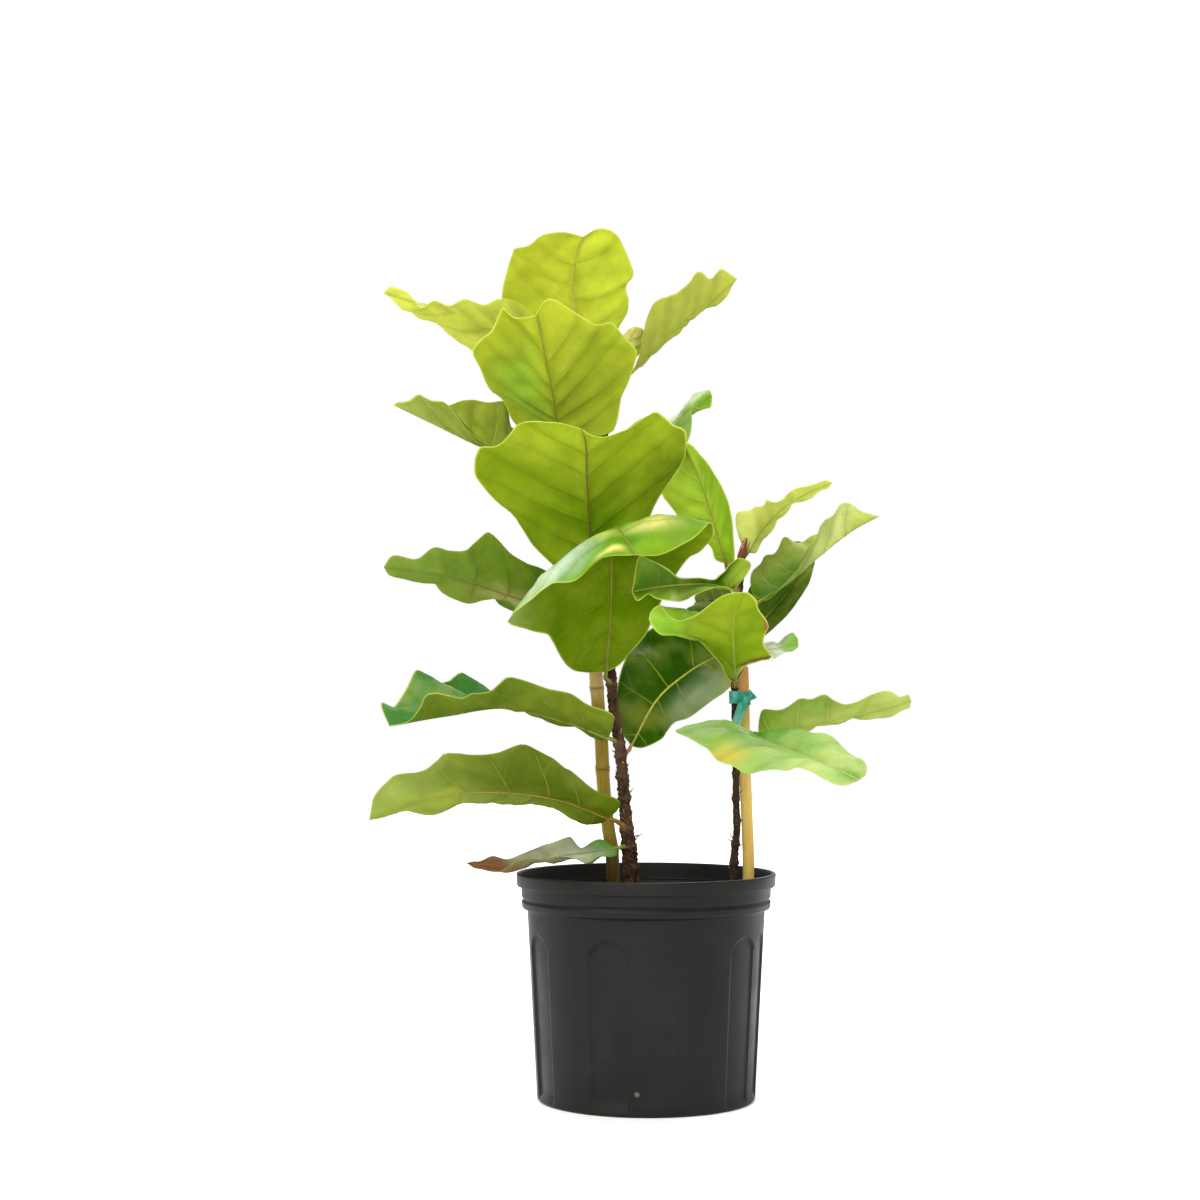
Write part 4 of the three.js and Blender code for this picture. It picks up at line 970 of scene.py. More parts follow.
@dataclass
class Soil:
    """The potting mix: an uneven crumbly surface with bark chips and perlite in it."""

    pot: Pot
    level: float = 197
    roughness: float = 3.2
    chips: int = 420
    chip_size: float = 6.5
    grains: int = 150
    grain_size: float = 2.6
    clearance: float = 0.6
    seed: int = 7

    def surface(self, x: np.ndarray, y: np.ndarray) -> np.ndarray:
        """The soil's height: two slow waves crossed, and crumbs of two sizes."""
        swell = np.sin(x * 0.11 + 1) * np.cos(y * 0.13) + 0.6 * np.sin(x * 0.31 + y * 0.27)
        flat = np.stack([x, y, 0 * x], axis=-1)
        crumbs = 1.1 * waves(flat, 14, self.seed, 4)
        return self.level + swell * self.roughness + crumbs

    def build(self) -> bpy.types.Object:
        """Builds the filling and strews the chips and grains over it."""
        pot = self.pot
        low, high = (radius - self.clearance for radius in pot.inner_radii())
        edge = high + 2.6
        shell = Shell()
        columns = np.radians(np.arange(0, 360, 1.5))[None]
        rings = np.linspace(edge - 0.6, 0, 75)[:, None]
        x, y = rings * np.cos(columns), rings * np.sin(columns)
        top = np.stack([x, y, self.surface(x, y)], axis=-1)
        side = [(0, pot.floor + 0.3), (low, pot.floor + 0.3), (high, pot.knee_z), (edge, self.level - 4)]
        r, z = np.array(side).T[..., None]
        under = np.stack([r * np.cos(columns), r * np.sin(columns), z + 0 * columns], axis=-1)
        shell.grid(np.concatenate([under, top]), wrap=True)
        draw = np.random.default_rng(self.seed)
        self._strew(shell, draw, self.chips, self.chip_size, 1, (1.0, 0.55, 0.3), edge)
        self._strew(shell, draw, self.grains, self.grain_size, 2, (1.0, 0.85, 0.8), edge)
        peat = Crumbs("peat", "1a110b", "4a3524", 420, 0.0016).make()
        chip = Crumbs("bark chip", "3a2417", "8a6242", 300, 0.0006).make()
        grain = Crumbs("perlite", "b9b4a8", "f0ede4", 900, 0.0004).make()
        return shell.build("potting_soil", [peat, chip, grain])

    def _strew(self, shell: Shell, draw: np.random.Generator, count: int, size: float, slot: int,
               stretch: tuple[float, float, float], edge: float) -> None:
        """Lays small lumps on the surface, half sunk.

        Formula: a lump is a sphere of 7 by 8 points whose radius varies by two crossed sines, then
        stretched, turned by random angles and set on the surface.

        Args:
            shell: The mesh that takes them.
            draw: The random source.
            count: How many.
            size: Their usual length.
            slot: Their material.
            stretch: Their length, width and height, as shares of the size.
            edge: The radius of the surface.
        """
        lift = np.linspace(-math.pi / 2, math.pi / 2, 7)[:, None]
        turn = turns(8)
        flat = np.cos(lift)
        ball = np.stack([flat * np.cos(turn), flat * np.sin(turn), np.sin(lift) + 0 * turn], axis=-1)
        for _ in range(count):
            a, b, c, d = draw.uniform(0, 2 * math.pi, 4)
            lump = 1 + 0.22 * np.sin(3 * turn + a) * np.cos(2 * lift + b) + 0.12 * np.sin(5 * turn + c)
            lump = np.where(np.abs(lift) > 1.5, 1.0, lump)
            points = ball * lump[..., None] * np.array(stretch) * size * draw.uniform(0.45, 1.25) / 2
            lean = draw.uniform(-0.5, 0.5)
            cos, sin = math.cos(lean), math.sin(lean)
            tilt = np.array([[1, 0, 0], [0, cos, -sin], [0, sin, cos]])
            spin = np.array([[math.cos(d), -math.sin(d), 0], [math.sin(d), math.cos(d), 0], [0, 0, 1]])
            radius = math.sqrt(draw.uniform(0, 1)) * (edge - size)
            x, y = radius * math.cos(c * 3 + a), radius * math.sin(c * 3 + a)
            z = float(self.surface(np.array(x), np.array(y))) + 0.2 * size * stretch[2]
            shell.grid(points @ (spin @ tilt).T + np.array([x, y, z]), slot=slot, wrap=True)


# ---- stems, stakes, ties and bud ------------------------------------------------------------------


def flattened(angle: np.ndarray, share: float) -> np.ndarray:
    """The radii of an ellipse of half width 1 whose half depth is a share of it."""
    return 1 / np.hypot(np.cos(angle), np.sin(angle) / share)


class Growth(Enum):
    """The two stems."""

    MAIN = "main"
    SIDE = "side"


@dataclass
class Rod:
    """Something long and upright, measured along its axis."""

    path: Sequence[float]
    curve: Spline = field(init=False)

    def __post_init__(self) -> None:
        """Works out the axis."""
        self.curve = Spline(EYE.place(self.path))

    def centre(self, z: float) -> np.ndarray:
        """The axis point at a height."""
        return self.curve.at(np.array(self.curve.share_at(z)))


@dataclass
class Stem(Rod):
    """A woody stem with rings of leaf scars, rough bark and dry stipules."""

    growth: Growth
    foot: float
    middle: float
    top: float
    roughness: float
    nodes: list[float]
    spikes: list[tuple[float, float, float, float, float]]
    finish: Bark
    scales: int
    seed: int
    foot_height: float = 0.2
    sides: int = 40
    step: float = 0.8

    @property
    def node(self) -> str:
        """The solid that this stem stands for."""
        return f"{self.growth.value}_stem"

    def ring_at(self, z: np.ndarray, width: float = 3.2) -> np.ndarray:
        """1 at a leaf scar's height and 0 away from all."""
        nodes = np.asarray(self.nodes)
        return np.minimum(bell(z[..., None] - nodes, width).sum(-1), 1)

    def radius(self, v: np.ndarray, angle: np.ndarray) -> np.ndarray:
        """The stem's radius.

        Formula: a taper from the foot over the middle to the top, times 1 + 0.28 at a leaf scar +
        the bark's crossed sines; then narrow ridges along the stem and a groove above each scar.

        Args:
            v: Shares of the stem's length, one a ring.
            angle: Angles round it.

        Returns:
            Radii (rings, angles).
        """
        point = self.curve.at(v)
        x, z = point[:, :1], point[:, 2:]
        low = self.foot + (self.middle - self.foot) * v / self.foot_height
        high = self.middle + (self.top - self.middle) * (v - self.foot_height) / (1 - self.foot_height)
        taper = np.where(v < self.foot_height, low, high)[:, None]
        bark = np.sin(z * 0.9 + angle * 2 + x) * np.sin(z * 0.37 + angle * 3)
        bare = smooth_step(v, 0.75, 0.95)[:, None]
        ring = self.ring_at(point[:, 2])[:, None]
        place = upright(angle, z, 9, 0.32)
        fissure = waves(place, 5.5, self.seed, 3)
        flake = smooth_step(waves(place * np.array([1, 1, 2.2]), 7, self.seed + 1, 2), 0.1, 0.5)
        scar = bell(z - 1.9 - np.asarray(self.nodes)[None], 0.7).sum(-1, keepdims=True)
        fine = self.roughness * (0.45 * fissure + 0.5 * flake) * (1 - 0.7 * bare)
        return taper * (1 + 0.28 * ring + 0.8 * self.roughness * bark * (1 - bare) + fine - 0.09 * scar)

    def build(self) -> bpy.types.Object:
        """Builds the stem with its stipules."""
        length = np.linalg.norm(np.diff(self.curve.at(np.linspace(0, 1, 400)), axis=0), axis=1).sum()
        v = np.linspace(0, 1, int(length / self.step))
        path = self.curve.at(v)
        shell = Shell()
        radius = self.radius(v, turns(self.sides))
        shell.tube(path, radius, RIGHT, self.sides, ring=self.ring_at(path[:, 2], 2.2))
        for spike in self.spikes:
            self._stipule(shell, *spike)
        draw = np.random.default_rng(self.seed)
        for _ in range(self.scales):
            z = draw.choice(self.nodes) + draw.uniform(-2, 3)
            thick = float(self.radius(np.array([self.curve.share_at(z)]), np.zeros((1, 1)))[0, 0])
            turn, rise = draw.uniform(0, 2 * math.pi), draw.uniform(0.75, 1.25)
            length = thick / math.cos(rise) * 0.8 + draw.uniform(3, 7)
            self._stipule(shell, z, turn, length, draw.uniform(1.1, 2.2), rise)
        scale = Sheath(f"{self.growth.value} stipule", "3a2418", "6a4428", "a8845a", 0.7).make()
        return shell.build(f"{self.node}_bark", [self.finish.make(), scale])

    def _stipule(
        self, shell: Shell, z: float, turn: float, length: float, radius: float, rise: float
    ) -> None:
        """Adds a dry pointed stipule whose root is sunk in the wood.

        Formula: a flattened tube that narrows as the root of the rest of its length and bends
        outwards by the square of the share of its length.

        Args:
            shell: The stem's mesh.
            z: The height of its root on the axis.
            turn: Its direction round the stem, from the viewer's right towards the back.
            length: Its length from the axis.
            radius: Its half width.
            rise: Its slope in radians.
        """
        out = np.array([math.cos(turn), math.sin(turn), 0.0])
        along = out * math.cos(rise) + np.array([0, 0, math.sin(rise)])
        share = np.linspace(0, 1, 16)[:, None]
        path = self.centre(z) + along * share * length + out * (share**2) * length * 0.08
        width = radius * np.sqrt(1 - 0.985 * share[:, 0])
        flat = flattened(turns(12), 0.42)
        side = np.cross(np.array([0, 0, 1.0]), out)
        edge = smooth_step(share[:, 0], 0.6, 1.0)
        shell.tube(path, width[:, None] * flat, side, 12, slot=1, ring=edge)


@dataclass
class Stake(Rod):
    """A stake: a round cane with node rings, or a flat planed slat."""

    name: str
    node: str
    width: float
    depth: float
    squareness: float
    ring_spacing: float
    ring_swell: float
    finish: Wood
    seed: int
    sides: int = 40

    def build(self) -> bpy.types.Object:
        """Builds the stake.

        Formula: the half width is that of a rounded rectangle, (|cos a / half width|^n + |sin a /
        half depth|^n)^(-1/n), plus a ridge and a groove at each node ring, plus slow noise.

        Returns:
            The stake's object.
        """
        v = np.linspace(0, 1, 420)
        path = self.curve.at(v)
        angle = turns(self.sides)
        n = self.squareness
        box = np.abs(np.cos(angle) / (self.width / 2)) ** n + np.abs(np.sin(angle) / (self.depth / 2)) ** n
        z = path[:, 2:]
        from_ring = (z + self.ring_spacing / 2) % self.ring_spacing - self.ring_spacing / 2
        swell = bell(from_ring, 4) + 0.5 * bell(from_ring - 1.2, 0.8) - 0.7 * bell(from_ring, 0.7)
        ridge = self.ring_swell * swell
        radius = box ** (-1 / n) + ridge + 0.1 * waves(upright(angle, z, 6, 0.15), 7, self.seed, 3)
        closing = 1 - 0.35 * (np.abs(2 * v - 1) ** 400)[:, None]
        shell = Shell()
        mark = (bell(from_ring, 1.6) * (self.ring_swell > 0))[:, 0]
        shell.tube(path, radius * closing, RIGHT, self.sides, ring=mark)
        return shell.build(self.name, [self.finish.make()])


@dataclass
class Tie:
    """A tape tie: a band round a stem and its stake, with a knot and loose ends."""

    name: str
    node: str
    stem: Stem
    stake: Stake
    z: float
    stem_grip: float
    stake_grip: float
    knotted: bool
    finish: Tape
    width: float = 12.5
    thickness: float = 0.6

    def _outline(self) -> tuple[np.ndarray, np.ndarray]:
        """The band's way round both, and its outward directions.

        Formula: the hull of two circles: an arc round each and the two outer tangents between.

        Returns:
            Points and directions (n, 2), anticlockwise from above, closed.
        """
        a, b = self.stem.centre(self.z)[:2], self.stake.centre(self.z)[:2]
        gap = float(np.linalg.norm(b - a))
        turn = math.atan2(b[1] - a[1], b[0] - a[0])
        lean = math.acos((self.stem_grip - self.stake_grip) / gap)
        first = np.linspace(turn + lean, turn + 2 * math.pi - lean, 40)
        second = np.linspace(turn - lean, turn + lean, 40)
        angle = np.concatenate([first, second, first[:1]])
        on_stem = (np.arange(81) % 80 < 40)[:, None]
        out = np.stack([np.cos(angle), np.sin(angle)], axis=1)
        corner = np.where(on_stem, a, b) + out * np.where(on_stem, self.stem_grip, self.stake_grip)
        length = lengths(corner)
        where = np.linspace(0, length[-1], 161)
        return between(where, length, corner), unit(between(where, length, out))

    def _strip(
        self, shell: Shell, path: Sequence[np.ndarray], widths: list[float], face: np.ndarray, pleats: float
    ) -> None:
        """Adds a loose end of tape.

        Formula: across the tape the points bend by pleats * sin(3 pi s) and both faces stand half
        the thickness off it.

        Args:
            shell: The tie's mesh.
            path: Points that its middle follows.
            widths: Its width at those points.
            face: The direction that its outer face looks to.
            pleats: How deep its lengthwise folds are.
        """
        v = np.linspace(0, 1, 40)
        middle = Spline(path).at(v)
        along = unit(np.gradient(middle, axis=0))
        across = unit(np.cross(along, face))
        out = np.cross(across, along)
        width = np.interp(v, np.linspace(0, 1, len(widths)), widths)[:, None, None]
        s = np.linspace(-0.5, 0.5, 21)[None, :, None]
        fold = pleats * np.sin(3 * math.pi * s + 2 * v[:, None, None])
        sheet = middle[:, None] + across[:, None] * s * width + out[:, None] * fold
        half = out[:, None] * self.thickness / 2
        loop = np.concatenate([sheet + half, (sheet - half)[:, ::-1]], axis=1)
        shell.grid(capped(loop, loop[0].mean(axis=0), loop[-1].mean(axis=0)), wrap=True, flip=True)

    def build(self) -> bpy.types.Object:
        """Builds the band, and the knot and its loose ends where there are any."""
        points, out = self._outline()
        h = np.linspace(-0.5, 0.5, 15)[None]
        lift = self.width * h
        u = np.arange(len(points))[:, None] / (len(points) - 1) * 2 * math.pi
        crease = 0.35 * np.sin(7 * u + 9 * h) * np.sin(3 * u + 2)
        crease = crease + 0.25 * np.sin(2 * math.pi * h * 1.5 + 2 * u)
        flare = 0.6 * (2 * np.abs(h)) ** 3 * (1 + np.sin(5 * u)) / 2
        x, y = points[:, :1] + 0 * lift, points[:, 1:] + 0 * lift
        base = np.stack([x, y, self.z + lift + 0.8 * np.sin(u + 1)], axis=-1)
        direction = np.concatenate([out, 0 * out[:, :1]], axis=1)[:, None]
        inner = base + direction * (0.15 + np.maximum(crease, -0.1) * 0.5 + flare * 0.6)[..., None]
        outer = inner + direction * self.thickness
        band = np.concatenate([outer, inner[:, ::-1]], axis=1)
        band[-1] = band[0]
        shell = Shell()
        shell.grid(band, wrap=True, flip=True)
        if self.knotted:
            self._knot(shell)
        else:
            stake = self.stake.centre(self.z)
            tail = [stake + np.array(p) for p in ((-6, 6, 0), (-12, 11, -8), (-14, 12, -20))]
            self._strip(shell, tail, [8, 9, 8], np.array([-0.6, 0.8, 0]), 0.5)
        return shell.build(self.name, [self.finish.make()], merge=1e-6)

    def _knot(self, shell: Shell) -> None:
        """Adds the knot, the short gathered end above it and the long tail below."""
        stem, stake = self.stem.centre(self.z), self.stake.centre(self.z)
        knot = np.array([stake[0] + 1.5, stake[1] - 8.6, self.z - 1])
        lift = np.linspace(-math.pi / 2, math.pi / 2, 20)[:, None]
        turn = turns(28)
        lump = 3.6 * (1 + 0.14 * np.sin(3 * turn + 3 * lift) * np.cos(lift))
        ball = np.stack([1.2 * np.cos(lift) * np.cos(turn), 0.8 * np.cos(lift) * np.sin(turn),
                         1.5 * np.sin(lift) + 0 * turn], axis=-1)
        shell.grid(knot + ball * lump[..., None], wrap=True)
        front = np.array([0, -1.0, 0])
        flare = [knot + np.array(p) for p in ((0, 0, -1), (4, -2, 2), (8, -2.4, 5.5))]
        self._strip(shell, flare, [5, 8, 11], front, 0.9)
        tail = [knot, (knot[0] - 4, stem[1] - 9, self.z - 9), (knot[0] - 10, stem[1] - 9, self.z - 25)]
        self._strip(shell, tail, [6, 10, 9], front, 0.6)


@dataclass
class Bud:
    """The growing tip's papery sheath, on the end of the side stem."""

    path: Sequence[float] = (95, 533.2, 12.2, 94.9, 538, 12, 97.2, 550, 8, 100.5, 560, 5)
    radius: float = 3.6

    def build(self) -> bpy.types.Object:
        """Builds the folded sheath and a loose scale at its side.

        Formula: a spindle of radius 3.6 * sin(pi (0.13 + 0.81 v)) + 0.3 with lengthwise folds, whose
        overlapping edge winds once round it.

        Returns:
            The bud's object.
        """
        v = np.linspace(0, 1, 60)
        angle = turns(48)
        spindle = (self.radius * np.sin(math.pi * (0.13 + 0.81 * v)) + 0.3)[:, None]
        seam = (angle - 2.2 * v[:, None] + 4.2) % (2 * math.pi)
        fold = 0.05 * np.sin(9 * angle + 3 * v[:, None]) + 0.12 * bell(seam - 0.3, 0.35)
        shell = Shell()
        path = Spline(EYE.place(self.path)).at(v)
        shell.tube(path, spindle * (1 + fold), RIGHT, 48)
        edge = np.zeros((62, 48))
        edge[1:-1] = bell(seam - 0.25, 0.14) * 0.8
        shell.values["ring"] = [(0, edge.reshape(-1, 1))]
        side = np.array([0.9, -0.4, 0])
        scale = [path[12] + side * 2.4, path[30] + side * 4.4, path[46] + side * 5.2, path[56] + side * 6.2]
        middle = Spline(scale).at(v)
        width = 1.9 * np.sqrt(np.clip(1 - v, 0.002, 1)) * smooth_step(v, -0.4, 0.4)
        flat = flattened(angle, 0.22)
        shell.tube(middle, width[:, None] * flat, np.array([0.4, 0.9, 0]), 48, ring=smooth_step(v, 0.5, 1))
        return shell.build("growing_tip", [Sheath("bud sheath", "5a2414", "8a4426", "d8b088").make()])


# ---- leaves ---------------------------------------------------------------------------------------


class Face(Enum):
    """The faces of a blade."""

    UNDER = "under"
    UPPER = "upper"
    BOTH = "both"


@dataclass(frozen=True)
class LeafShape:
    """A leaf's measured form.

    Its stem and the height it grows at, its arch, its hem's wave (height, count and phase), then the
    rib and the left and right margins from base to tip, each as right, up and depth of its points.
    """

    stem: Growth
    node: float
    arch: float
    wave: tuple[float, float, float]
    rib: Sequence[float]
    left: Sequence[float]
    right: Sequence[float]


@dataclass(frozen=True)
class Patch:
    """A soft oval on a blade with its own colour: at (t, s), with half sizes, on one face or both."""

    t: float
    s: float
    half_t: float
    half_s: float
    colour: str
    share: float = 0.8
    wither: float = 0.0
    face: Face = Face.BOTH


@dataclass(frozen=True)
class Look:
    """A leaf's colours: both faces from base to tip, its stalk and midrib, and its veins."""

    under: tuple[str, str]
    upper: tuple[str, str]
    rib: tuple[str, str] = ("6f7a22", "a9a640")
    veins: tuple[str, str] = ("93902c", "c2c258")
    laterals: int = 6
    # how strongly the pale margin shows: partly the blade's own edge, partly a painted glow of light on the
    # rim
    rim: float = 0.35
    patches: tuple[Patch, ...] = ()


@dataclass
class Leaf:
    """One leaf: a waved blade with raised veins, and a stalk that runs on as its midrib."""

    name: str
    shape: LeafShape
    look: Look
    stem: Stem
    blade: bpy.types.Material
    stalk: bpy.types.Material
    seed: int
    thickness: float = 0.7
    rows: int = 58
    lateral_pull: float = 1.3
    vein_bow: float = 0.07
    ridge: float = 0.55
    quilt: float = 2.2
    crumple: float = 1.0
    stalk_foot: float = 2.8
    stalk_top: float = 1.9
    rib_radius: float = 0.75
    bead: float = 0.22
    rib: Spline = field(init=False)
    left: Spline = field(init=False)
    right: Spline = field(init=False)
    lateral_left: np.ndarray = field(init=False)
    lateral_right: np.ndarray = field(init=False)

    def __post_init__(self) -> None:
        """Works out the rib's and the margins' curves and where the laterals leave."""
        rib = self.shape.rib
        self.rib = Spline(EYE.place(rib))
        self.left = Spline(EYE.place([*rib[:3], *self.shape.left, *rib[-3:]]))
        self.right = Spline(EYE.place([*rib[:3], *self.shape.right, *rib[-3:]]))
        draw = np.random.default_rng(self.seed)
        count = self.look.laterals
        even = 0.075 + 0.8 * (np.arange(count) / count) ** 0.93
        gap = 0.8 / count
        self.lateral_left = even + draw.uniform(-0.2, 0.2, count) * gap
        self.lateral_right = even + gap * 0.22 + draw.uniform(-0.2, 0.2, count) * gap

    def _shares(self) -> np.ndarray:
        """Rows of the grid: even ones, closer at both ends, and a few beside each lateral."""
        u = np.linspace(0, 1, self.rows)
        even = 0.5 * u + 0.25 * (1 - np.cos(math.pi * u))
        length = np.linalg.norm(np.diff(self.left.at(np.linspace(0, 1, 200)), axis=0), axis=1).sum()
        beside = np.array([-2.2, -1.2, -0.6, 0, 0.6, 1.2, 2.2]) / length
        near = (np.concatenate([self.lateral_left, self.lateral_right])[:, None] + beside).ravel()
        return np.unique(np.round(np.clip(np.concatenate([even, near]), 4e-4, 1 - 4e-4), 4))

    def _sides(self) -> np.ndarray:
        """Columns of the grid, from the left margin (-1) over the midrib (0) to the right (1)."""
        half = np.concatenate([[0.012, 0.03, 0.055, 0.085], np.linspace(0.12, 0.93, 21), [0.96, 0.985, 1]])
        return np.concatenate([-half[::-1], [0], half])

    def _middle(self, t: np.ndarray, s: np.ndarray) -> np.ndarray:
        """The blade's middle surface, without its fine relief.

        Formula: lines of equal t run from the rib at t^1.3 to the margin at t, as the laterals do.
        Along them the point goes evenly out, is lifted by arch * bulge and by a ripple that grows
        with the square of the reach, and is pulled back along the rib by a share of the bulge.

        Args:
            t: Shares from base to tip (rows, 1).
            s: Sides from -1 to 1 (1, columns).

        Returns:
            Points (rows, columns, 3).
        """
        foot = self.rib.at(t**self.lateral_pull)
        along = self.rib.slope(t**self.lateral_pull)
        left, right = self.left.at(t), self.right.at(t)
        up = unit(np.cross(right - left, along))
        reach = np.abs(s)[..., None]
        edge = np.where(s[..., None] < 0, left, right)
        span = np.linalg.norm(edge - foot, axis=-1, keepdims=True)
        height, count, phase = self.shape.wave
        turn = 2 * math.pi * (count * t + phase) + np.where(s < 0, 0, 2.1)
        ripple = height * np.abs(s) ** 2 * np.sqrt(np.sin(math.pi * t)) * np.sin(turn)
        bulge = np.sin(math.pi * reach) * span
        lifted = self.shape.arch * bulge + ripple[..., None]
        return foot * (1 - reach) + edge * reach + up * lifted - along * self.vein_bow * bulge

    def _facts(self, t: np.ndarray, s: np.ndarray, middle: np.ndarray) -> dict[str, np.ndarray]:
        """Where each point lies between the veins.

        Formula: the phase counts the laterals from the base, whole on each; the spacing is the
        distance that one phase takes square to the laterals, in millimetres.

        Args:
            t: Shares (rows, 1).
            s: Sides (1, columns).
            middle: Points (rows, columns, 3).

        Returns:
            Arrays (rows, columns): phase, spacing, rib, edge and reach, and the normals.
        """
        count = self.look.laterals
        steps = np.concatenate([[0.5], np.arange(1, count + 1), [count + 0.5]])
        phases = []
        for laterals in (self.lateral_left, self.lateral_right):
            phases.append(np.interp(t[:, 0], np.concatenate([[0], laterals, [1]]), steps)[:, None])
        phase = np.where(s < 0, phases[0], phases[1])
        d_t = np.gradient(middle, t[:, 0], axis=0)
        d_s = np.gradient(middle, s[0], axis=1)
        normal = unit(np.cross(d_s, d_t))
        square = np.linalg.norm(np.cross(d_t, unit(d_s)), axis=-1)
        rate = np.gradient(phase, t[:, 0], axis=0)
        foot = self.rib.at(t**self.lateral_pull)
        edge = np.where(s[..., None] < 0, self.left.at(t), self.right.at(t))
        span = np.linalg.norm(edge - foot, axis=-1)
        reach = np.broadcast_to(np.abs(s), phase.shape)
        return {
            "phase": phase, "spacing": square / rate, "rib": reach * span, "edge": (1 - reach) * span,
            "reach": reach, "normal": normal,
        }

    def _relief(self, facts: dict[str, np.ndarray], middle: np.ndarray) -> np.ndarray:
        """How far the blade stands off its middle surface.

        Formula: between the laterals it bulges as the squared sine of pi * the phase's distance
        from a whole. Three layers of smooth noise wave it: slowly all over, finely between the veins
        and at the hem, the last two fading where the blade is narrow.

        Args:
            facts: What _facts gives.
            middle: The middle surface.

        Returns:
            Offsets towards the upper face (rows, columns).
        """
        off = np.abs(facts["phase"] - np.round(facts["phase"]))
        room = smooth_step(facts["rib"], 1.5, 9) * smooth_step(facts["edge"], 0, 8)
        puff = self.quilt * np.minimum(facts["spacing"] / 26, 1) * (np.sin(math.pi * off) ** 2 - 0.4) * room
        slow = 0.9 * waves(middle, 75, self.seed, 2) * smooth_step(facts["rib"], 3, 25)
        breadth = smooth_step(facts["rib"] + facts["edge"], 8, 45)
        small = self.crumple * waves(middle, 26, self.seed + 5, 2) * room * breadth
        hem = 0.8 * waves(middle, 30, self.seed + 1, 2) * smooth_step(facts["reach"], 0.55, 1) * breadth
        return puff + slow + small + hem

    def _colours(self, t: np.ndarray, s: np.ndarray, points: np.ndarray, face: Face) -> np.ndarray:
        """The blade's colour on one face, with its wither in alpha.

        Formula: base colour to tip colour along t, then each patch by its share times a soft oval,
        exp(-(dt^2 + ds^2)^1.5).

        Args:
            t: Shares (rows, 1).
            s: Sides (1, columns).
            points: The face's points, for slow variation.
            face: The face.

        Returns:
            Colours (rows, columns, 4).
        """
        pair = self.look.upper if face is Face.UPPER else self.look.under
        first, last = (np.array(linear(c, 0.0)) for c in pair)
        along = (t + 0.12 * waves(points, 60, self.seed + 2, 2))[..., None]
        colour = first + (last - first) * np.clip(along, 0, 1)
        wobble = 0.18 * waves(points, 18, self.seed + 3, 3)
        for patch in self.look.patches:
            if patch.face in (Face.BOTH, face):
                d = ((t - patch.t) / patch.half_t) ** 2 + ((s - patch.s) / patch.half_s) ** 2
                share = (patch.share * np.exp(-(np.maximum(d + wobble, 0) ** 1.5)))[..., None]
                colour = colour + (np.array(linear(patch.colour, patch.wither)) - colour) * share
        return colour

    def _stalk_path(
        self, t: np.ndarray, middle: np.ndarray, normal: np.ndarray
    ) -> tuple[np.ndarray, np.ndarray, np.ndarray]:
        """The stalk and midrib's way and its radius.

        Formula: a curve from the stem's axis into the line of the rib, then the rib's own points,
        which sink towards the lower face by 0.55 of the radius. The radius swells where the stalk
        leaves the stem, and falls along the midrib as the share left, to the power 0.8.

        Args:
            t: Shares (rows, 1).
            middle: The blade's middle surface.
            normal: Its normals.

        Returns:
            Points, radii, and the share from 0 at the stem over 1 at the blade to 2 at the tip.
        """
        root = self.stem.centre(self.shape.node)
        base = self.rib.at(np.array(0.0))
        along = self.rib.slope(np.array(0.0))
        bend = base - along * 0.35 * np.linalg.norm(base - root)
        inner = self.rib.at(np.array(0.06))
        approach = Spline(np.stack([root, bend, base, inner])).at(np.linspace(0, 2 / 3, 26)[:-1])
        centre = middle.shape[1] // 2
        kept = (t[:, 0] > 0.004) & (t[:, 0] < 0.975)
        share = t[kept, 0]
        out = unit(normal[:, centre - 2] + normal[:, centre + 2])[kept]
        steady = int(np.searchsorted(share, 0.07))
        out[:steady] = out[steady]
        flow = (self.stalk_top - self.rib_radius - 0.3) * np.exp(-share / 0.07)
        radius = 0.3 + self.rib_radius * (1 - share) ** 0.8 + flow
        sunk = smooth_step(share, -0.02, 0.08)[:, None]
        rib = middle[kept, centre] - out * 0.55 * radius[:, None] * sunk
        u = np.linspace(0, 1, 26)[:-1]
        foot = self.stalk_foot + (self.stalk_top - self.stalk_foot) * smooth_step(u, 0, 0.9)
        foot = foot + 0.7 * bell(u - 0.1, 0.12)
        return np.vstack([approach, rib]), np.concatenate([foot, radius]), np.concatenate([u, 1 + share])

    def build(self) -> bpy.types.Object:
        """Builds the blade's two faces and its margin, and the stalk, as one mesh."""
        t, s = self._shares()[:, None], self._sides()[None]
        middle = self._middle(t, s)
        facts = self._facts(t, s, middle)
        middle = middle + facts["normal"] * self._relief(facts, middle)[..., None]
        d_t = np.gradient(middle, t[:, 0], axis=0)
        normal = unit(np.cross(np.gradient(middle, s[0], axis=1), d_t))
        off = np.abs(facts["phase"] - np.round(facts["phase"])) * facts["spacing"]
        out = smooth_step(facts["edge"], 0.5, 9)
        ridge = self.ridge * (1 - facts["reach"]) ** 0.55 * bell(off, 0.55 + 0.5 * (1 - facts["reach"])) * out
        fairing = 0.8 * (1 - 0.8 * t) * bell(facts["rib"], 2.6)
        groove = 0.2 * bell(off, 1.0) * out + 0.3 * bell(facts["rib"], 1.5)
        half = self.thickness / 2
        faces = {
            Face.UPPER: middle + normal * (half - groove)[..., None],
            Face.UNDER: middle - normal * (half + ridge + fairing)[..., None],
        }
        shell = Shell()
        # the vein tint's alpha carries the rim strength, that of the partly painted glow on the margin
        vein_first, vein_last = (np.array(linear(c, self.look.rim)) for c in self.look.veins)
        near = (1 - smooth_step(facts["reach"], 0.0, 0.55)) * (1 - 0.75 * t)
        values = {
            "tint": self._colours(t, s, faces[Face.UNDER], Face.UNDER),
            "vein_tint": vein_last + (vein_first - vein_last) * near[..., None],
            "veins": np.stack([facts["phase"], facts["spacing"], facts["rib"]], axis=-1),
            "place": np.stack([t + 0 * facts["rib"], facts["reach"], facts["edge"]], axis=-1),
            "upper": np.full(facts["rib"].shape, 0.5),
        }
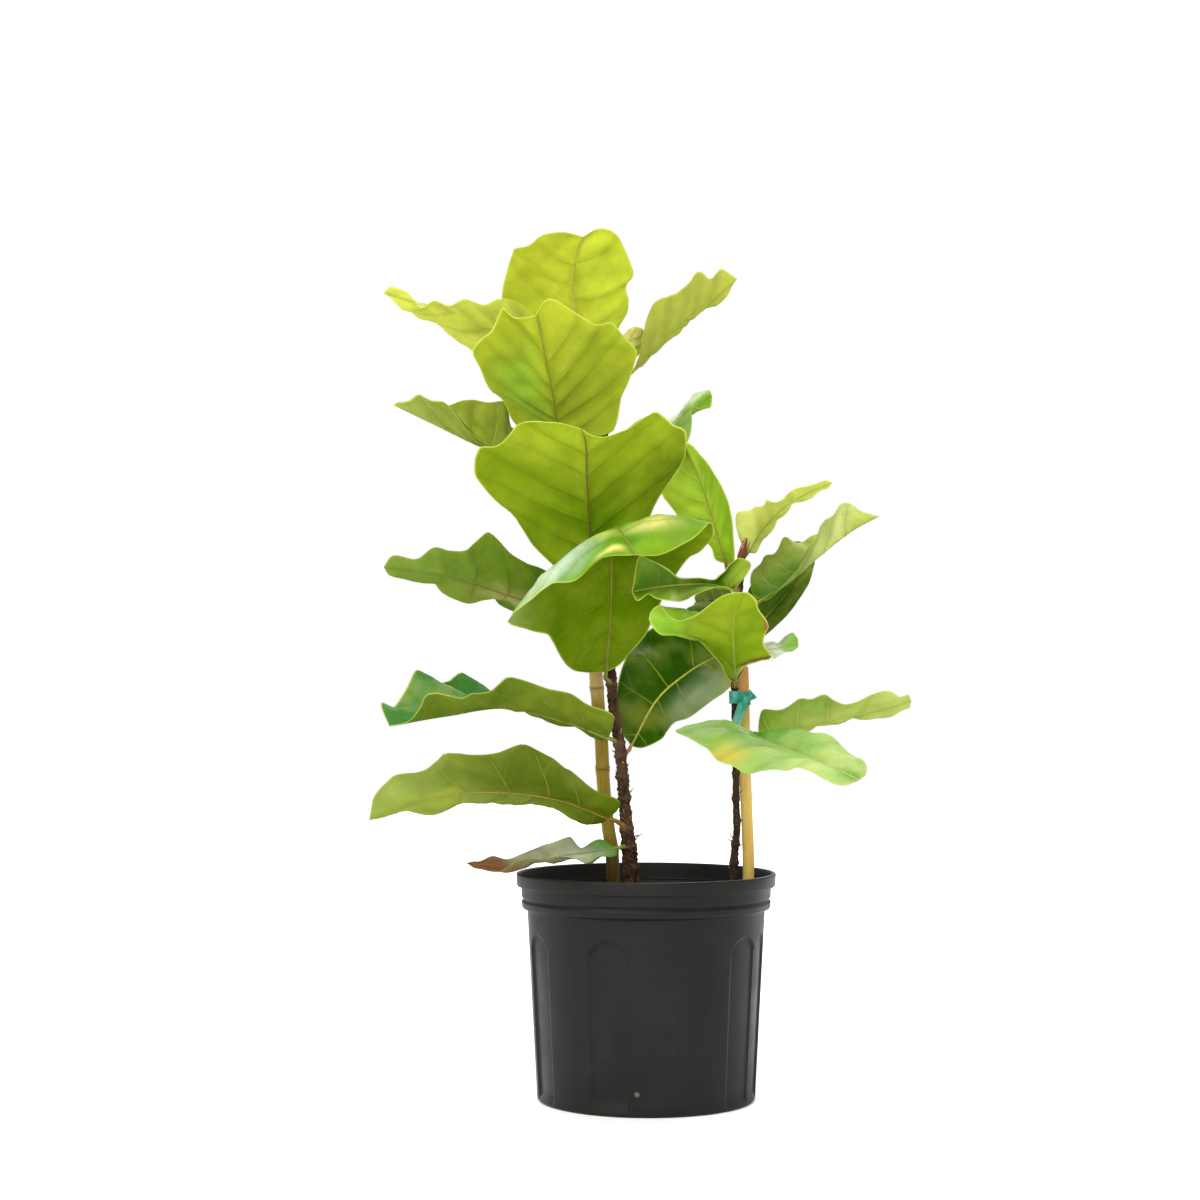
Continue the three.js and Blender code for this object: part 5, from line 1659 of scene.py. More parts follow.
        ends = self.rib.at(np.array([0.0, 1.0]))
        for face, points in faces.items():
            upper = face is Face.UPPER
            own = values | {"tint": self._colours(t, s, points, face), "upper": 0 * values["upper"] + upper}
            own = {name: doubled(rows) for name, rows in own.items()}
            shell.grid(capped(points, *ends), flip=not upper, **own)
        for column, outward in ((0, -1), (-1, 1)):
            sideways = unit(np.gradient(middle, s[0], axis=1)[:, column])
            bead = middle[:, column] + sideways * outward * self.bead
            strip = np.stack([faces[Face.UNDER][:, column], bead, faces[Face.UPPER][:, column]], axis=1)
            own = {name: doubled(rows[:, column])[:, None] for name, rows in values.items()}
            own = {name: np.repeat(rows, 3, axis=1) for name, rows in own.items()}
            shell.grid(capped(strip, *ends), flip=column == -1, **own)
        path, radius, share = self._stalk_path(t, middle, normal)
        first, last = (np.array(linear(c)) for c in self.look.rib)
        tint = first + (last - first) * smooth_step(share, 0.7, 1.6)[:, None]
        across = unit(self.right.at(np.array(0.5)) - self.left.at(np.array(0.5)))
        shell.tube(path, radius, across, 12, slot=1, tint=tint)
        return shell.build(f"{self.name}_blade", [self.blade, self.stalk])


MAIN, SIDE = Growth.MAIN, Growth.SIDE

LEAF_SHAPES: dict[str, LeafShape] = {
    "leaf_top": LeafShape(
        MAIN, 700, 0.08, (2, 4.5, 0.1),
        (-52, 722, 14, -64, 762, 36, -74, 806, 54, -70, 842, 62, -63, 861, 63),
        (-36, 740, 18, -28, 768, 30, -19, 785, 40, -17, 797, 45, -20, 812, 50, -13, 824, 53, -22, 851, 58,
         -32, 864.8, 60, -47, 869.6, 62),
        (-92, 728, 24, -132, 752, 38, -143, 791, 48, -143, 812, 52, -134, 842, 56, -130, 850, 58,
         -116, 853, 59, -102, 863.4, 61, -83, 865.8, 62),
    ),
    "leaf_upper_front": LeafShape(
        MAIN, 640, 0.1, (1.5, 4, 0.3),
        (-66, 648, -16, -88, 676, -34, -93, 702, -50, -103, 753, -84, -110, 783, -102),
        (-50, 662, -22, -32, 668, -32, -25, 699, -46, -18, 716, -54, -11, 738, -66, -10, 749, -72,
         -24, 764, -82, -35, 776, -90, -50, 774, -94, -64, 780, -97, -77, 790, -100, -91, 799, -102,
         -101, 797, -102),
        (-104, 658, -26, -131, 674, -40, -143, 697, -52, -157, 709, -60, -165, 727, -70, -173, 746, -80,
         -164, 760, -86, -154, 767, -92, -147, 782, -96, -143, 790, -98, -132, 781, -100, -122, 780, -101),
    ),
    "leaf_middle_front": LeafShape(
        MAIN, 505, 0.1, (1.5, 4, 0.0),
        (-52, 514, -26, -56, 562, -62, -59, 614, -100, -60, 652, -132, -64, 669, -147),
        (-34, 532, -42, -6, 562, -60, 8, 592, -80, 18, 608, -92, 34, 631, -106, 40, 649, -116,
         39, 667, -124, 28, 672, -128, 19, 680, -132, 8, 687, -136, -10, 675, -139, -31, 664, -141,
         -44, 661, -143, -56, 664, -146),
        (-82, 526, -40, -109, 548, -54, -132, 580, -74, -149, 596, -86, -163, 612, -98, -172, 627, -106,
         -167, 649, -116, -150, 652, -122, -138, 663, -130, -129, 673, -134, -115, 675, -138,
         -102, 677, -142, -87, 674, -146),
    ),
    "leaf_lower_front": LeafShape(
        MAIN, 414, 0.1, (2, 4, 0.6),
        (-40, 426, -14, -35, 490, -58, -33, 566, -134, -22, 562, -174, -12, 543, -188),
        (-26, 434, -24, -14, 446, -36, -2, 462, -50, 10, 486, -64, 24, 512, -80, 42, 540, -98,
         56, 549, -108, 68, 560, -122, 64, 576, -140, 45, 559, -162, 16, 543, -180),
        (-61, 425, -22, -74, 429, -34, -84, 440, -48, -92, 454, -60, -100, 465, -74, -118, 469, -92,
         -137, 475, -112, -114, 500, -146, -96, 514, -166, -72, 516, -178, -44, 540, -184),
    ),
    "leaf_left_top": LeafShape(
        MAIN, 690, -0.08, (2, 5, 0.2),
        (-56, 706, 6, -110, 748, 4, -170, 782, 0, -225, 795, -6, -262, 805, -6),
        (-84, 742, -10, -116, 786, -26, -144, 799, -36, -162, 794, -38, -183, 797, -40, -194, 794, -40,
         -210, 796, -38, -221, 792, -36, -230, 795, -32, -241, 806, -26, -254, 812, -16),
        (-74, 702, 26, -116, 712, 44, -150, 732, 52, -174, 746, 50, -191, 760, 46, -208, 773, 42,
         -224, 778, 34, -236, 788, 26, -243, 785, 20, -249, 794, 10, -256, 800, 2),
    ),
    "leaf_left_upper": LeafShape(
        MAIN, 612, -0.06, (2, 4, 0.2),
        (-66, 622, -14, -130, 640, -40, -166, 652, -56, -208, 672, -74, -252, 693, -88),
        (-96, 624, -34, -134, 640, -62, -159, 654, -82, -181, 673, -96, -200, 692, -104, -213, 699, -106,
         -226, 704, -104, -237, 697, -100, -246, 697, -94),
        (-84, 646, 8, -112, 664, 16, -134, 672, 14, -139, 688, 12, -144, 697, 6, -162, 696, -2,
         -181, 697, -14, -200, 694, -34, -230, 696, -66),
    ),
    "leaf_left_middle": LeafShape(
        MAIN, 478, -0.08, (2, 4, 0.2),
        (-62, 486, -10, -121, 498, -30, -170, 514, -44, -214, 525, -58, -262, 531, -72),
        (-78, 514, -40, -103, 530, -60, -120, 534, -70, -133, 542, -78, -145, 558, -84, -155, 564, -88,
         -163, 562, -92, -179, 550, -94, -195, 548, -96, -214, 549, -96, -229, 540, -94, -252, 543, -84),
        (-84, 478, 12, -124, 492, 16, -133, 488, 14, -147, 494, 10, -155, 502, 6, -166, 498, 2,
         -183, 496, -2, -204, 504, -10, -215, 518, -18, -235, 519, -34, -255, 521, -56),
    ),
    "leaf_left_low": LeafShape(
        MAIN, 355, -0.06, (2, 4, 0.2),
        (-38, 360, -9, -80, 376, -26, -140, 390, -40, -200, 382, -52, -257, 372, -56),
        (-32, 382, -28, -57, 394, -42, -74, 403, -54, -98, 408, -66, -121, 419, -78, -137, 422, -84,
         -148, 412, -88, -157, 407, -92, -174, 408, -94, -186, 400, -96, -217, 402, -98, -226, 390, -94,
         -238, 376, -84),
        (-52, 360, 8, -92, 384, 30, -140, 402, 40, -170, 417, 36, -184, 425, 30, -198, 417, 20,
         -215, 420, 10, -229, 426, 2, -240, 410, -10, -253, 393, -22, -265, 393, -36),
    ),
    "leaf_left_lower": LeafShape(
        MAIN, 270, -0.1, (2, 4.5, 0.2),
        (-38, 280, -16, -86, 298, -40, -146, 306, -58, -206, 302, -72, -277, 278, -80),
        (-26, 296, -34, -51, 309, -50, -72, 324, -66, -82, 329, -72, -92, 340, -82, -110, 350, -90,
         -124, 352, -98, -143, 347, -104, -166, 345, -108, -198, 345, -112, -208, 336, -114,
         -223, 328, -114, -249, 325, -110, -257, 317, -106, -272, 300, -94),
        (-48, 275, 2, -72, 276, 14, -90, 289, 18, -112, 302, 14, -130, 300, 10, -155, 300, 6, -168, 301, 2,
         -194, 296, -10, -206, 293, -18, -219, 284, -30, -243, 286, -46, -260, 281, -60),
    ),
    "leaf_lowest": LeafShape(
        MAIN, 252, -0.12, (2.5, 5, 0.2),
        (-30, 250, -11, -62, 245, -24, -98, 241, -34, -140, 233, -44, -180, 235, -50),
        (-30, 244, -24, -44, 240, -38, -56, 237, -50, -70, 239, -58, -94, 241, -66, -112, 239, -70,
         -133, 233, -72, -150, 229, -70, -164, 228, -66, -172, 231, -58),
        (-42, 258, 10, -56, 254, 18, -68, 253, 22, -78, 259, 26, -96, 256, 28, -112, 246, 26, -136, 243, 14,
         -146, 239, 6, -158, 242, -4, -168, 236, -20),
    ),
    "leaf_right_top": LeafShape(
        MAIN, 694, -0.1, (2, 4, 0.2),
        (-12, 728, 8, 12, 752, 6, 38, 777, 0, 64, 796, -6, 91, 819, -14),
        (0, 738, 24, 15, 757, 34, 32, 773, 40, 44, 785, 38, 53, 788, 32, 60, 795, 26, 70, 799, 20,
         78, 799, 12, 84, 810, 0),
        (-6, 748, -10, -1, 770, -20, 7, 793, -28, 14, 801, -31, 22, 801, -34, 31, 804, -34, 41, 815, -34,
         50, 824, -34, 57, 824, -32, 64, 820, -30, 74, 829, -24, 85, 823, -18),
    ),
    "leaf_top_young": LeafShape(
        MAIN, 714, -0.15, (0.8, 3, 0.2),
        (-32, 726, 16, -26, 738, 19, -19, 752, 21, -13, 763, 21, -9, 771, 19),
        (-22, 730, 24, -12, 738, 28, -5, 746, 29, -1, 756, 28, 0, 762, 26, -2, 767, 23, -5, 770, 20),
        (-35, 734, 23, -33, 744, 28, -29, 754, 30, -25, 761, 30, -20, 766, 27, -17, 769, 24, -13, 771, 21),
    ),
    "leaf_right_back": LeafShape(
        MAIN, 590, 0.08, (3, 3, 0.2),
        (-32, 606, 18, -6, 628, 42, 26, 662, 62, 46, 686, 72, 66, 701, 80),
        (-20, 630, 48, 0, 656, 70, 22, 676, 84, 34, 688, 88, 44, 698, 90, 54, 706, 89, 63, 709, 85),
        (-12, 610, 16, 18, 628, 32, 38, 654, 46, 46, 674, 54, 48, 690, 62, 56, 691, 70, 64, 690, 76),
    ),
    "leaf_between": LeafShape(
        MAIN, 343, 0.1, (3, 3, 0.2),
        (-15, 352, 14, 10, 397, 58, 37, 422, 90, 63, 438, 118, 90, 448, 140),
        (-24, 366, 18, -30, 398, 42, -24, 432, 72, -4, 462, 100, 26, 482, 124, 56, 484, 140, 80, 470, 146),
        (-2, 351, 24, 14, 358, 44, 20, 366, 56, 30, 377, 70, 44, 381, 82, 64, 396, 98, 82, 409, 112,
         98, 426, 128, 100, 442, 138),
    ),
    "leaf_back_middle": LeafShape(
        MAIN, 490, 0.12, (5, 3.5, 0.4),
        (-44, 500, 20, -52, 530, 72, -58, 552, 128, -62, 562, 190, -62, 556, 235.7),
        (-66, 506, 36, -88, 528, 74, -98, 556, 118, -102, 574, 158, -98, 580, 196, -86, 574, 222,
         -72, 562, 236),
        (-26, 506, 36, -16, 530, 74, -14, 560, 118, -14, 576, 158, -20, 580, 196, -34, 574, 222,
         -50, 562, 236),
    ),
    "leaf_back_top": LeafShape(
        MAIN, 668, 0.12, (4, 3.5, 0.1),
        (-46, 690, 20, -58, 716, 58, -68, 738, 100, -76, 752, 142, -80, 756, 172),
        (-70, 696, 30, -94, 716, 56, -110, 740, 92, -116, 756, 124, -114, 764, 150, -104, 764, 166,
         -90, 760, 174),
        (-36, 696, 34, -28, 714, 62, -28, 738, 96, -32, 756, 128, -42, 764, 152, -56, 764, 168,
         -70, 760, 174),
    ),
    "side_leaf_up_left": LeafShape(
        SIDE, 507, 0.1, (2, 4, 0.2),
        (80, 534, 10, 73, 558, 13, 65, 584, 15, 54, 616, 15, 38, 656, 14),
        (88, 534, 5, 88, 558, 2, 85, 586, 3, 78, 608, 7, 67, 626, 9, 55, 643, 11, 46, 653, 13),
        (69, 539, 9, 64, 552, 7, 44, 572, 9, 36, 579, 9, 24, 592, 9, 14, 608, 9, 10, 626, 9, 14, 648, 11,
         28, 658, 13),
    ),
    "side_leaf_up_right": LeafShape(
        SIDE, 516, -0.08, (2, 5, 0.2),
        (102, 546, 22, 114, 566, 23, 136, 589, 17, 160, 605, 10, 186, 615, 2),
        (110, 546, 28, 119, 560, 38, 131, 575, 42, 141, 588, 38, 152, 597, 30, 168, 602, 20, 181, 610, 8),
        (94, 558, 16, 90, 584, 14, 105, 588, 8, 113, 592, 3, 120, 597, 0, 128, 596, -2, 142, 604, -6,
         158, 612, -8, 178, 617, -4),
    ),
    "side_leaf_right": LeafShape(
        SIDE, 484, -0.06, (2, 5, 0.3),
        (112, 496, 0, 142, 516, -14, 172, 541, -30, 204, 566, -44, 233, 582, -54),
        (105, 508, 14, 107, 526, 28, 117, 539, 36, 127, 543, 36, 138, 559, 34, 150, 556, 26, 167, 561, 8,
         204, 575, -26),
        (126, 501, -18, 146, 523, -42, 162, 546, -60, 167, 560, -68, 176, 572, -74, 184, 583, -78,
         195, 592, -78, 205, 595, -76, 218, 585, -68),
    ),
    "side_leaf_right_back": LeafShape(
        SIDE, 438, 0.1, (3, 3, 0.1),
        (98, 454, 24, 116, 476, 44, 138, 501, 64, 156, 526, 82, 164, 545, 92),
        (95, 472, 32, 98, 492, 48, 106, 516, 66, 122, 538, 80, 140, 552, 90, 152, 555, 95, 160, 552, 95),
        (112, 458, 34, 128, 470, 48, 144, 486, 62, 158, 506, 74, 165, 524, 84, 169, 535, 89, 168, 542, 92),
    ),
    "side_leaf_left": LeafShape(
        SIDE, 500, -0.12, (2, 4, 0.1),
        (88, 508, -10, 62, 514, -62, 32, 513, -108, 6, 510, -128, -14, 506, -142),
        (98, 502, -24, 80, 510, -62, 58, 508, -92, 36, 497, -118, 16, 499, -134, 2, 504, -142,
         -8, 498, -148),
        (106, 532, -6, 92, 539, -14, 80, 527, -30, 66, 518, -56, 50, 520, -84, 34, 521, -112, 20, 529, -120,
         6, 538, -126, -7, 541, -132),
    ),
    "side_leaf_front": LeafShape(
        SIDE, 412, 0.12, (1.5, 4, 0.5),
        (90, 414, -12, 88, 440, -50, 87, 466, -86, 90, 490, -114, 97, 506, -128),
        (104, 436, -24, 123, 438, -36, 124, 444, -42, 118, 453, -54, 120, 466, -66, 122, 474, -78,
         113, 488, -96, 110, 498, -112, 104, 504, -122),
        (82, 420, -26, 75, 433, -38, 64, 448, -56, 49, 460, -76, 26, 461, -98, 13, 465, -108, 4, 480, -116,
         14, 492, -122, 22, 482, -124, 37, 477, -126, 60, 489, -129, 80, 503, -131),
    ),
    "side_leaf_right_small": LeafShape(
        SIDE, 452, -0.1, (1, 3, 0.2),
        (112, 450, 10, 120, 449, 26, 130, 450, 38, 141, 453, 47, 152, 456, 53),
        (113, 454, 22, 118, 455, 36, 126, 456, 48, 133, 456, 56, 140, 462, 60, 147, 465, 61, 151, 461, 58),
        (116, 441, 12, 123, 437, 22, 129, 440, 30, 136, 444, 36, 142, 446, 41, 148, 448, 46, 152, 451, 50),
    ),
    "side_leaf_left_back": LeafShape(
        SIDE, 462, 0.1, (3, 3, 0.1),
        (90, 480, 22, 80, 488, 46, 68, 494, 70, 58, 496, 86, 50, 496, 98),
        (82, 470, 32, 68, 469, 50, 54, 472, 68, 46, 478, 80, 43, 484, 89, 43, 489, 95, 46, 493, 98),
        (92, 496, 32, 84, 508, 50, 74, 514, 68, 66, 514, 80, 60, 512, 90, 54, 508, 96, 50, 502, 99),
    ),
    "side_leaf_low_right": LeafShape(
        SIDE, 358, -0.08, (2, 5, 0.2),
        (114, 363, -6, 150, 368, 4, 190, 379, 4, 230, 387, -2, 265.3, 397, -8),
        (122, 357, 12, 146, 362, 34, 172, 373, 40, 200, 381, 34, 224, 382, 22, 248, 384, 8, 262, 391, -2),
        (112, 370, -14, 116, 386, -22, 126, 389, -26, 139, 391, -30, 155, 398, -34, 165, 400, -36,
         177, 403, -38, 190, 396, -38, 204, 396, -36, 229, 403, -30, 244, 406, -24, 254, 402, -20,
         262, 403, -14),
    ),
    "side_leaf_low_front": LeafShape(
        SIDE, 372, 0.1, (2, 4, 0.3),
        (104, 366, -20, 130, 353, -60, 160, 341, -100, 190, 329, -136, 214, 318, -160),
        (124, 365, -26, 150, 368, -46, 165, 366, -60, 180, 362, -72, 195, 353, -96, 208, 342, -122,
         220, 333, -142, 219, 324, -154),
        (90, 367, -22, 74, 371, -30, 54, 372, -40, 30, 369, -56, 42, 362, -76, 59, 349, -96, 72, 337, -108,
         88, 334, -118, 101, 326, -128, 124, 327, -138, 141, 326, -144, 150, 332, -148, 162, 329, -152,
         177, 319, -156, 195, 312, -160),
    ),
}

UNDER, UPPER = Face.UNDER, Face.UPPER
LIME = ("a9c830", "c0d840")
FRESH = ("66a41c", "8cb828")

LOOKS: dict[str, Look] = {
    "leaf_top": Look(
        ("a8b02c", "c4c83c"), LIME, rib=("5c5818", "a0a02c"), veins=("90922a", "b4b83c"), laterals=5,
        patches=(Patch(0.55, -0.6, 0.4, 0.5, "ccd844", 0.5, face=UNDER),),
    ),
    "leaf_upper_front": Look(
        ("b8c43a", "c0c83a"), LIME, rib=("6a3010", "8c8c28"), veins=("7c7a24", "a8ac34"), laterals=6,
        rim=1.0,
        patches=(Patch(0.38, 0.45, 0.3, 0.35, "9cd048", 0.65, face=UNDER),
         Patch(0.5, -0.5, 0.3, 0.4, "a8b038", 0.6, face=UNDER)),
    ),
    "leaf_middle_front": Look(
        ("94ac1c", "bccc34"), FRESH, rib=("54280c", "6c5414"), veins=("6c6c14", "9aa02c"), laterals=6,
        rim=1.0,
        # both ovals are painted shade: the darker middle where the leaves behind shade it, and a dark shaded
        # margin
        patches=(Patch(0.45, 0.1, 0.22, 0.7, "6c9206", 0.85, face=UNDER),
         Patch(0.36, -0.95, 0.16, 0.4, "446400", 0.85, face=UNDER)),
    ),
    "leaf_lower_front": Look(
        ("648402", "608002"), ("4c9414", "7cb020"), rib=("6c6418", "848028"), veins=("5c6c0c", "7c9428"),
        laterals=6, rim=0.7,
        # the first oval is a painted highlight: the whitish sheen on the folded flap
        patches=(Patch(0.7, 0.7, 0.1, 0.4, "e8fae4", 0.95, face=UPPER),
         Patch(0.9, 0.45, 0.045, 0.3, "fff08c", 0.95, face=UPPER),
         Patch(0.68, 0.95, 0.14, 0.2, "c0dc90", 0.7, face=UNDER),
         Patch(0.78, -0.35, 0.05, 0.35, "fcf490", 0.9, face=UPPER),
         Patch(0.7, 0.2, 0.06, 0.2, "e8e878", 0.7, face=UPPER),
         Patch(0.86, -0.05, 0.06, 0.3, "3c8c10", 0.75, face=UPPER),
         Patch(0.66, -0.1, 0.04, 0.5, "3c8c10", 0.7, face=UPPER)),
    ),
    "leaf_left_top": Look(("ccd05c", "e4e468"), LIME, laterals=6),
    "leaf_left_upper": Look(("5c8808", "b0bc60"), ("6c8c1c", "a0a848"), laterals=6, rim=0.6),
    "leaf_left_middle": Look(
        ("487000", "849c44"), FRESH, rib=("5a3416", "6c5020"), veins=("60501c", "8c9044"), laterals=5,
        rim=0.1,
        patches=(Patch(0.36, 0.2, 0.22, 0.4, "c8b878", 0.9, face=UNDER),),
    ),
    "leaf_left_low": Look(
        ("6c8422", "7e902e"), ("347430", "468840"), veins=("7a842c", "7ca458"), laterals=6, rim=0.7,
    ),
    "leaf_left_lower": Look(
        ("607808", "a4b45c"), FRESH, rib=("8a6a1c", "c89a3c"), veins=("9c8430", "a8ac50"), laterals=5,
        rim=0.1,
        patches=(Patch(0.45, -0.6, 0.27, 0.6, "54680c", 0.85, face=UNDER),),
    ),
    "leaf_lowest": Look(
        ("3c9a08", "b0b88c"), ("4aa414", "b8bc98"), rib=("7a8a30", "7a5a3c"), veins=("98a060", "c0c4a0"),
        laterals=4, rim=0.0,
        patches=(Patch(0.42, 0.0, 0.24, 1.6, "d4d8c0", 0.95),
         Patch(0.95, 0.0, 0.38, 2.0, "58382a", 1.0, 1.0)),
    ),
    "leaf_right_top": Look(
        ("c4c458", "c8c85c"), ("5c9a2c", "7cb03c"), rib=("8a842c", "b4b040"), laterals=6, rim=0.6,
    ),
    "leaf_top_young": Look(
        ("e4d884", "ece094"), ("dcd680", "e4de90"), rib=("c4a858", "d4c070"), laterals=4,
    ),
    "leaf_right_back": Look(
        ("a4b080", "84b420"), ("a8b484", "8cbc28"), veins=("84a054", "9cb85c"), laterals=4,
        patches=(Patch(0.55, -0.9, 0.3, 0.5, "f4f8e8", 0.95),),
    ),
    "leaf_between": Look(
        ("5a9030", "6aa03c"), ("0e4c00", "1c5400"), rib=("a86c24", "ccd048"), veins=("d0cc48", "a8ac3c"),
        laterals=4, rim=0.5,
        # the first oval is a painted reflection: the grey-green sheen on the lower right of the upper face
        patches=(Patch(0.6, 0.75, 0.25, 0.45, "a8b490", 0.8, face=UPPER),
         Patch(0.2, 0.6, 0.15, 0.6, "245c00", 0.8, face=UPPER)),
    ),
    "leaf_back_middle": Look(("6e9a10", "7ca418"), FRESH, laterals=6),
    "leaf_back_top": Look(("9cb82a", "b4c838"), LIME, laterals=6),
    "side_leaf_up_left": Look(
        ("84ac14", "bcd848"), ("6ab428", "7cc030"), rib=("6a3410", "8c7c2c"), veins=("8ca020", "b8cc4c"),
        laterals=6, rim=1.0,
        patches=(Patch(0.93, 0.5, 0.1, 0.5, "3c6400", 0.9),),
    ),
    "side_leaf_up_right": Look(("f0ec94", "e4e880"), LIME, veins=("ccc868", "ccd060"), laterals=4),
    "side_leaf_right": Look(
        ("4c8008", "f4f4a8"), ("2c6c04", "d8dc84"), veins=("5c8418", "a8b44c"), laterals=5,
        patches=(Patch(0.35, 0.0, 0.25, 1.2, "386c04", 0.8, face=UPPER),
         Patch(0.92, 0.0, 0.16, 1.6, "98b030", 0.7)),
    ),
    "side_leaf_right_back": Look(
        ("44740a", "588414"), ("385c0c", "44680c"), veins=("4c6c14", "5c7c24"), laterals=5, rim=0.0,
    ),
    "side_leaf_left": Look(
        ("9cc03c", "a8c848"), ("1c5c00", "347c04"), veins=("3c7410", "88a838"), laterals=4, rim=1.0,
        # the first oval is painted light: the brightly lit lobe by the base
        patches=(Patch(0.12, 0.7, 0.09, 0.7, "c8e050", 0.9), Patch(0.9, 0.8, 0.15, 0.4, "8cb830", 0.6),
         Patch(0.45, -0.9, 0.45, 0.55, "b4dc48", 0.85, face=UPPER)),
    ),
    "side_leaf_front": Look(
        ("789c12", "a4b82a"), ("78b420", "96d22c"), rib=("74441c", "8ca424"), veins=("84a01c", "a0b434"),
        laterals=5, rim=1.0,
        patches=(Patch(0.15, -0.85, 0.07, 0.8, "f4e0b8", 0.95),
         Patch(0.25, -0.7, 0.025, 0.7, "5a3010", 0.95, 0.9),
         Patch(0.05, 0.0, 0.04, 1.0, "6a3c18", 0.8, 0.8), Patch(0.58, -1.0, 0.05, 0.12, "c88c50", 0.9, 0.6),
         Patch(0.5, 0.95, 0.14, 0.4, "b8f058", 0.9), Patch(0.7, 0.5, 0.15, 0.5, "b0c040", 0.6, face=UNDER)),
    ),
    "side_leaf_right_small": Look(
        ("f4f4e4", "90c83c"), ("e8ecd4", "90c83c"), veins=("dce0c0", "b4cc80"), laterals=3,
        patches=(Patch(0.35, 0.0, 0.3, 2.0, "fcfcf8", 0.95),),
    ),
    "side_leaf_left_back": Look(("2f5a14", "3c6a1c"), ("28500f", "32641a"), laterals=4, rim=0.0),
    "side_leaf_low_right": Look(("5c9428", "ccd278"), FRESH, veins=("80982c", "c4c46c"), laterals=4),
    "side_leaf_low_front": Look(
        ("a5d264", "8cc050"), ("2c9c00", "dce49c"), rib=("94a43c", "bccc70"), veins=("94b440", "ccd89c"),
        laterals=5, rim=0.2,
        patches=(Patch(0.45, 0.85, 0.05, 0.2, "f0cc58", 0.9, face=UPPER),
         Patch(0.96, 0.0, 0.12, 1.0, "7cb040", 0.85), Patch(0.6, -0.9, 0.3, 0.3, "b0cc74", 0.7, face=UPPER)),
    ),
}



# ---- assemblies -----------------------------------------------------------------------------------


@dataclass
class Holder:
    """The pot and its soil."""

    def build(self) -> None:
        """Builds and dresses both."""
        pot = Pot()
        dress(pot.build(), "pot")
        dress(Soil(pot).build(), "soil")


@dataclass
class Supports:
    """The stems with their stakes, ties and growing tip."""

    stems: dict[Growth, Stem] = field(default_factory=dict)

    def build(self) -> None:
        """Builds and dresses all of them."""
        main = Stem(
            (-12, 130, 4, -15, 224, 2, -18.5, 262, 0, -21, 291, 0, -23.5, 321, 0, -26, 350, 0, -33, 394, 1,
             -35, 430, 2, -39, 490, 3, -41, 550, 4, -42, 620, 5, -41, 680, 6, -38, 716, 7),
            MAIN, foot=9.2, middle=5.8, top=3.2, roughness=0.16,
            nodes=[252, 270, 300, 322, 343, 355, 414, 448, 478, 505, 540, 590, 630, 668, 700],
            spikes=[
                (299, -0.3, 14, 2.4, 0.9), (249, -0.2, 18, 3, 1.0), (260, 0.1, 17, 2.4, 0.25),
                (343, 3.0, 10, 3.4, 0.5), (344, -0.2, 11, 3.4, 0.5), (322, 3.3, 9.5, 2.6, 0.7),
                (285, 2.9, 11, 2.4, 0.8), (275, -0.9, 11, 2.6, 0.8), (330, -1.4, 9.5, 2.4, 0.8),
                (252, 2.4, 13, 2.8, 0.9), (310, 1.6, 10, 2.6, 0.8), (398, 1.9, 9, 2.2, 0.7),
            ],
            finish=Bark("main bark", "1a100a", "463222", "644a34"), scales=34, seed=11,
        )
        side = Stem(
            (86, 140, 3, 87.5, 221, 0, 89, 250, -1, 91, 269, -2, 90, 299, -2, 90, 328, -2,
             88.5, 394, -2, 89, 430, 0, 92, 470, 4, 94, 505, 8, 95, 532, 12),
            SIDE, foot=4.6, middle=3.6, top=2.4, roughness=0.1,
            nodes=[236, 255, 278, 300, 326, 358, 372, 412, 442, 462, 486, 500, 512],
            spikes=[(255, 3.1, 9, 2.6, 0.5), (250, 0.1, 9, 2.6, 0.5), (300, 2.8, 6.5, 1.8, 0.7)],
            finish=Bark("side bark", "120d08", "2c2418", "443422"), scales=16, seed=23,
        )
        self.stems = {MAIN: main, SIDE: side}
        cane = Stake(
            (-30, 62, 38, -33, 225, 35, -37.5, 269, 33, -40.5, 291, 32, -43, 321, 30,
             -44.5, 357, 28, -48, 394, 25, -50, 423, 23, -52, 470, 20),
            "cane_stake", "left_stake", width=13.6, depth=13.6, squareness=2, ring_spacing=82, ring_swell=0.7,
            finish=Wood("cane", "967e1c", "6c5414", "403010", "c4a468", 0.42), seed=31,
        )
        slat = Stake(
            (101, 90, 9, 102.5, 221, 9, 100.5, 291, 9, 99, 324, 9, 97, 416, 9, 96.6, 431, 9),
            "slat_stake", "right_stake", width=11.6, depth=6.4, squareness=5, ring_spacing=1000,
            ring_swell=0.0,
            finish=Wood("slat", "dcba64", "c09a48", "b88e40", "ac6c3a", 0.62, 0.0002), seed=37,
        )
        tape = Tape()
        right = Tie("side_tie", "right_tie", side, slat, 400, 4.5, 6.5, True, tape)
        left = Tie("main_tie", "left_tie", main, cane, 452, 7.1, 7.9, False, tape)
        for piece in (main, side, cane, slat, right, left):
            dress(piece.build(), piece.node)
        dress(Bud().build(), "side_bud")


@dataclass
class Foliage:
    """All leaves."""

    stems: dict[Growth, Stem]

    def build(self) -> None:
        """Builds and dresses each leaf."""
        blade, stalk = Blade().make(), Stalk().make()
        for number, (name, shape) in enumerate(LEAF_SHAPES.items()):
            leaf = Leaf(name, shape, LOOKS[name], self.stems[shape.stem], blade, stalk, seed=100 + 7 * number)
            dress(leaf.build(), name)


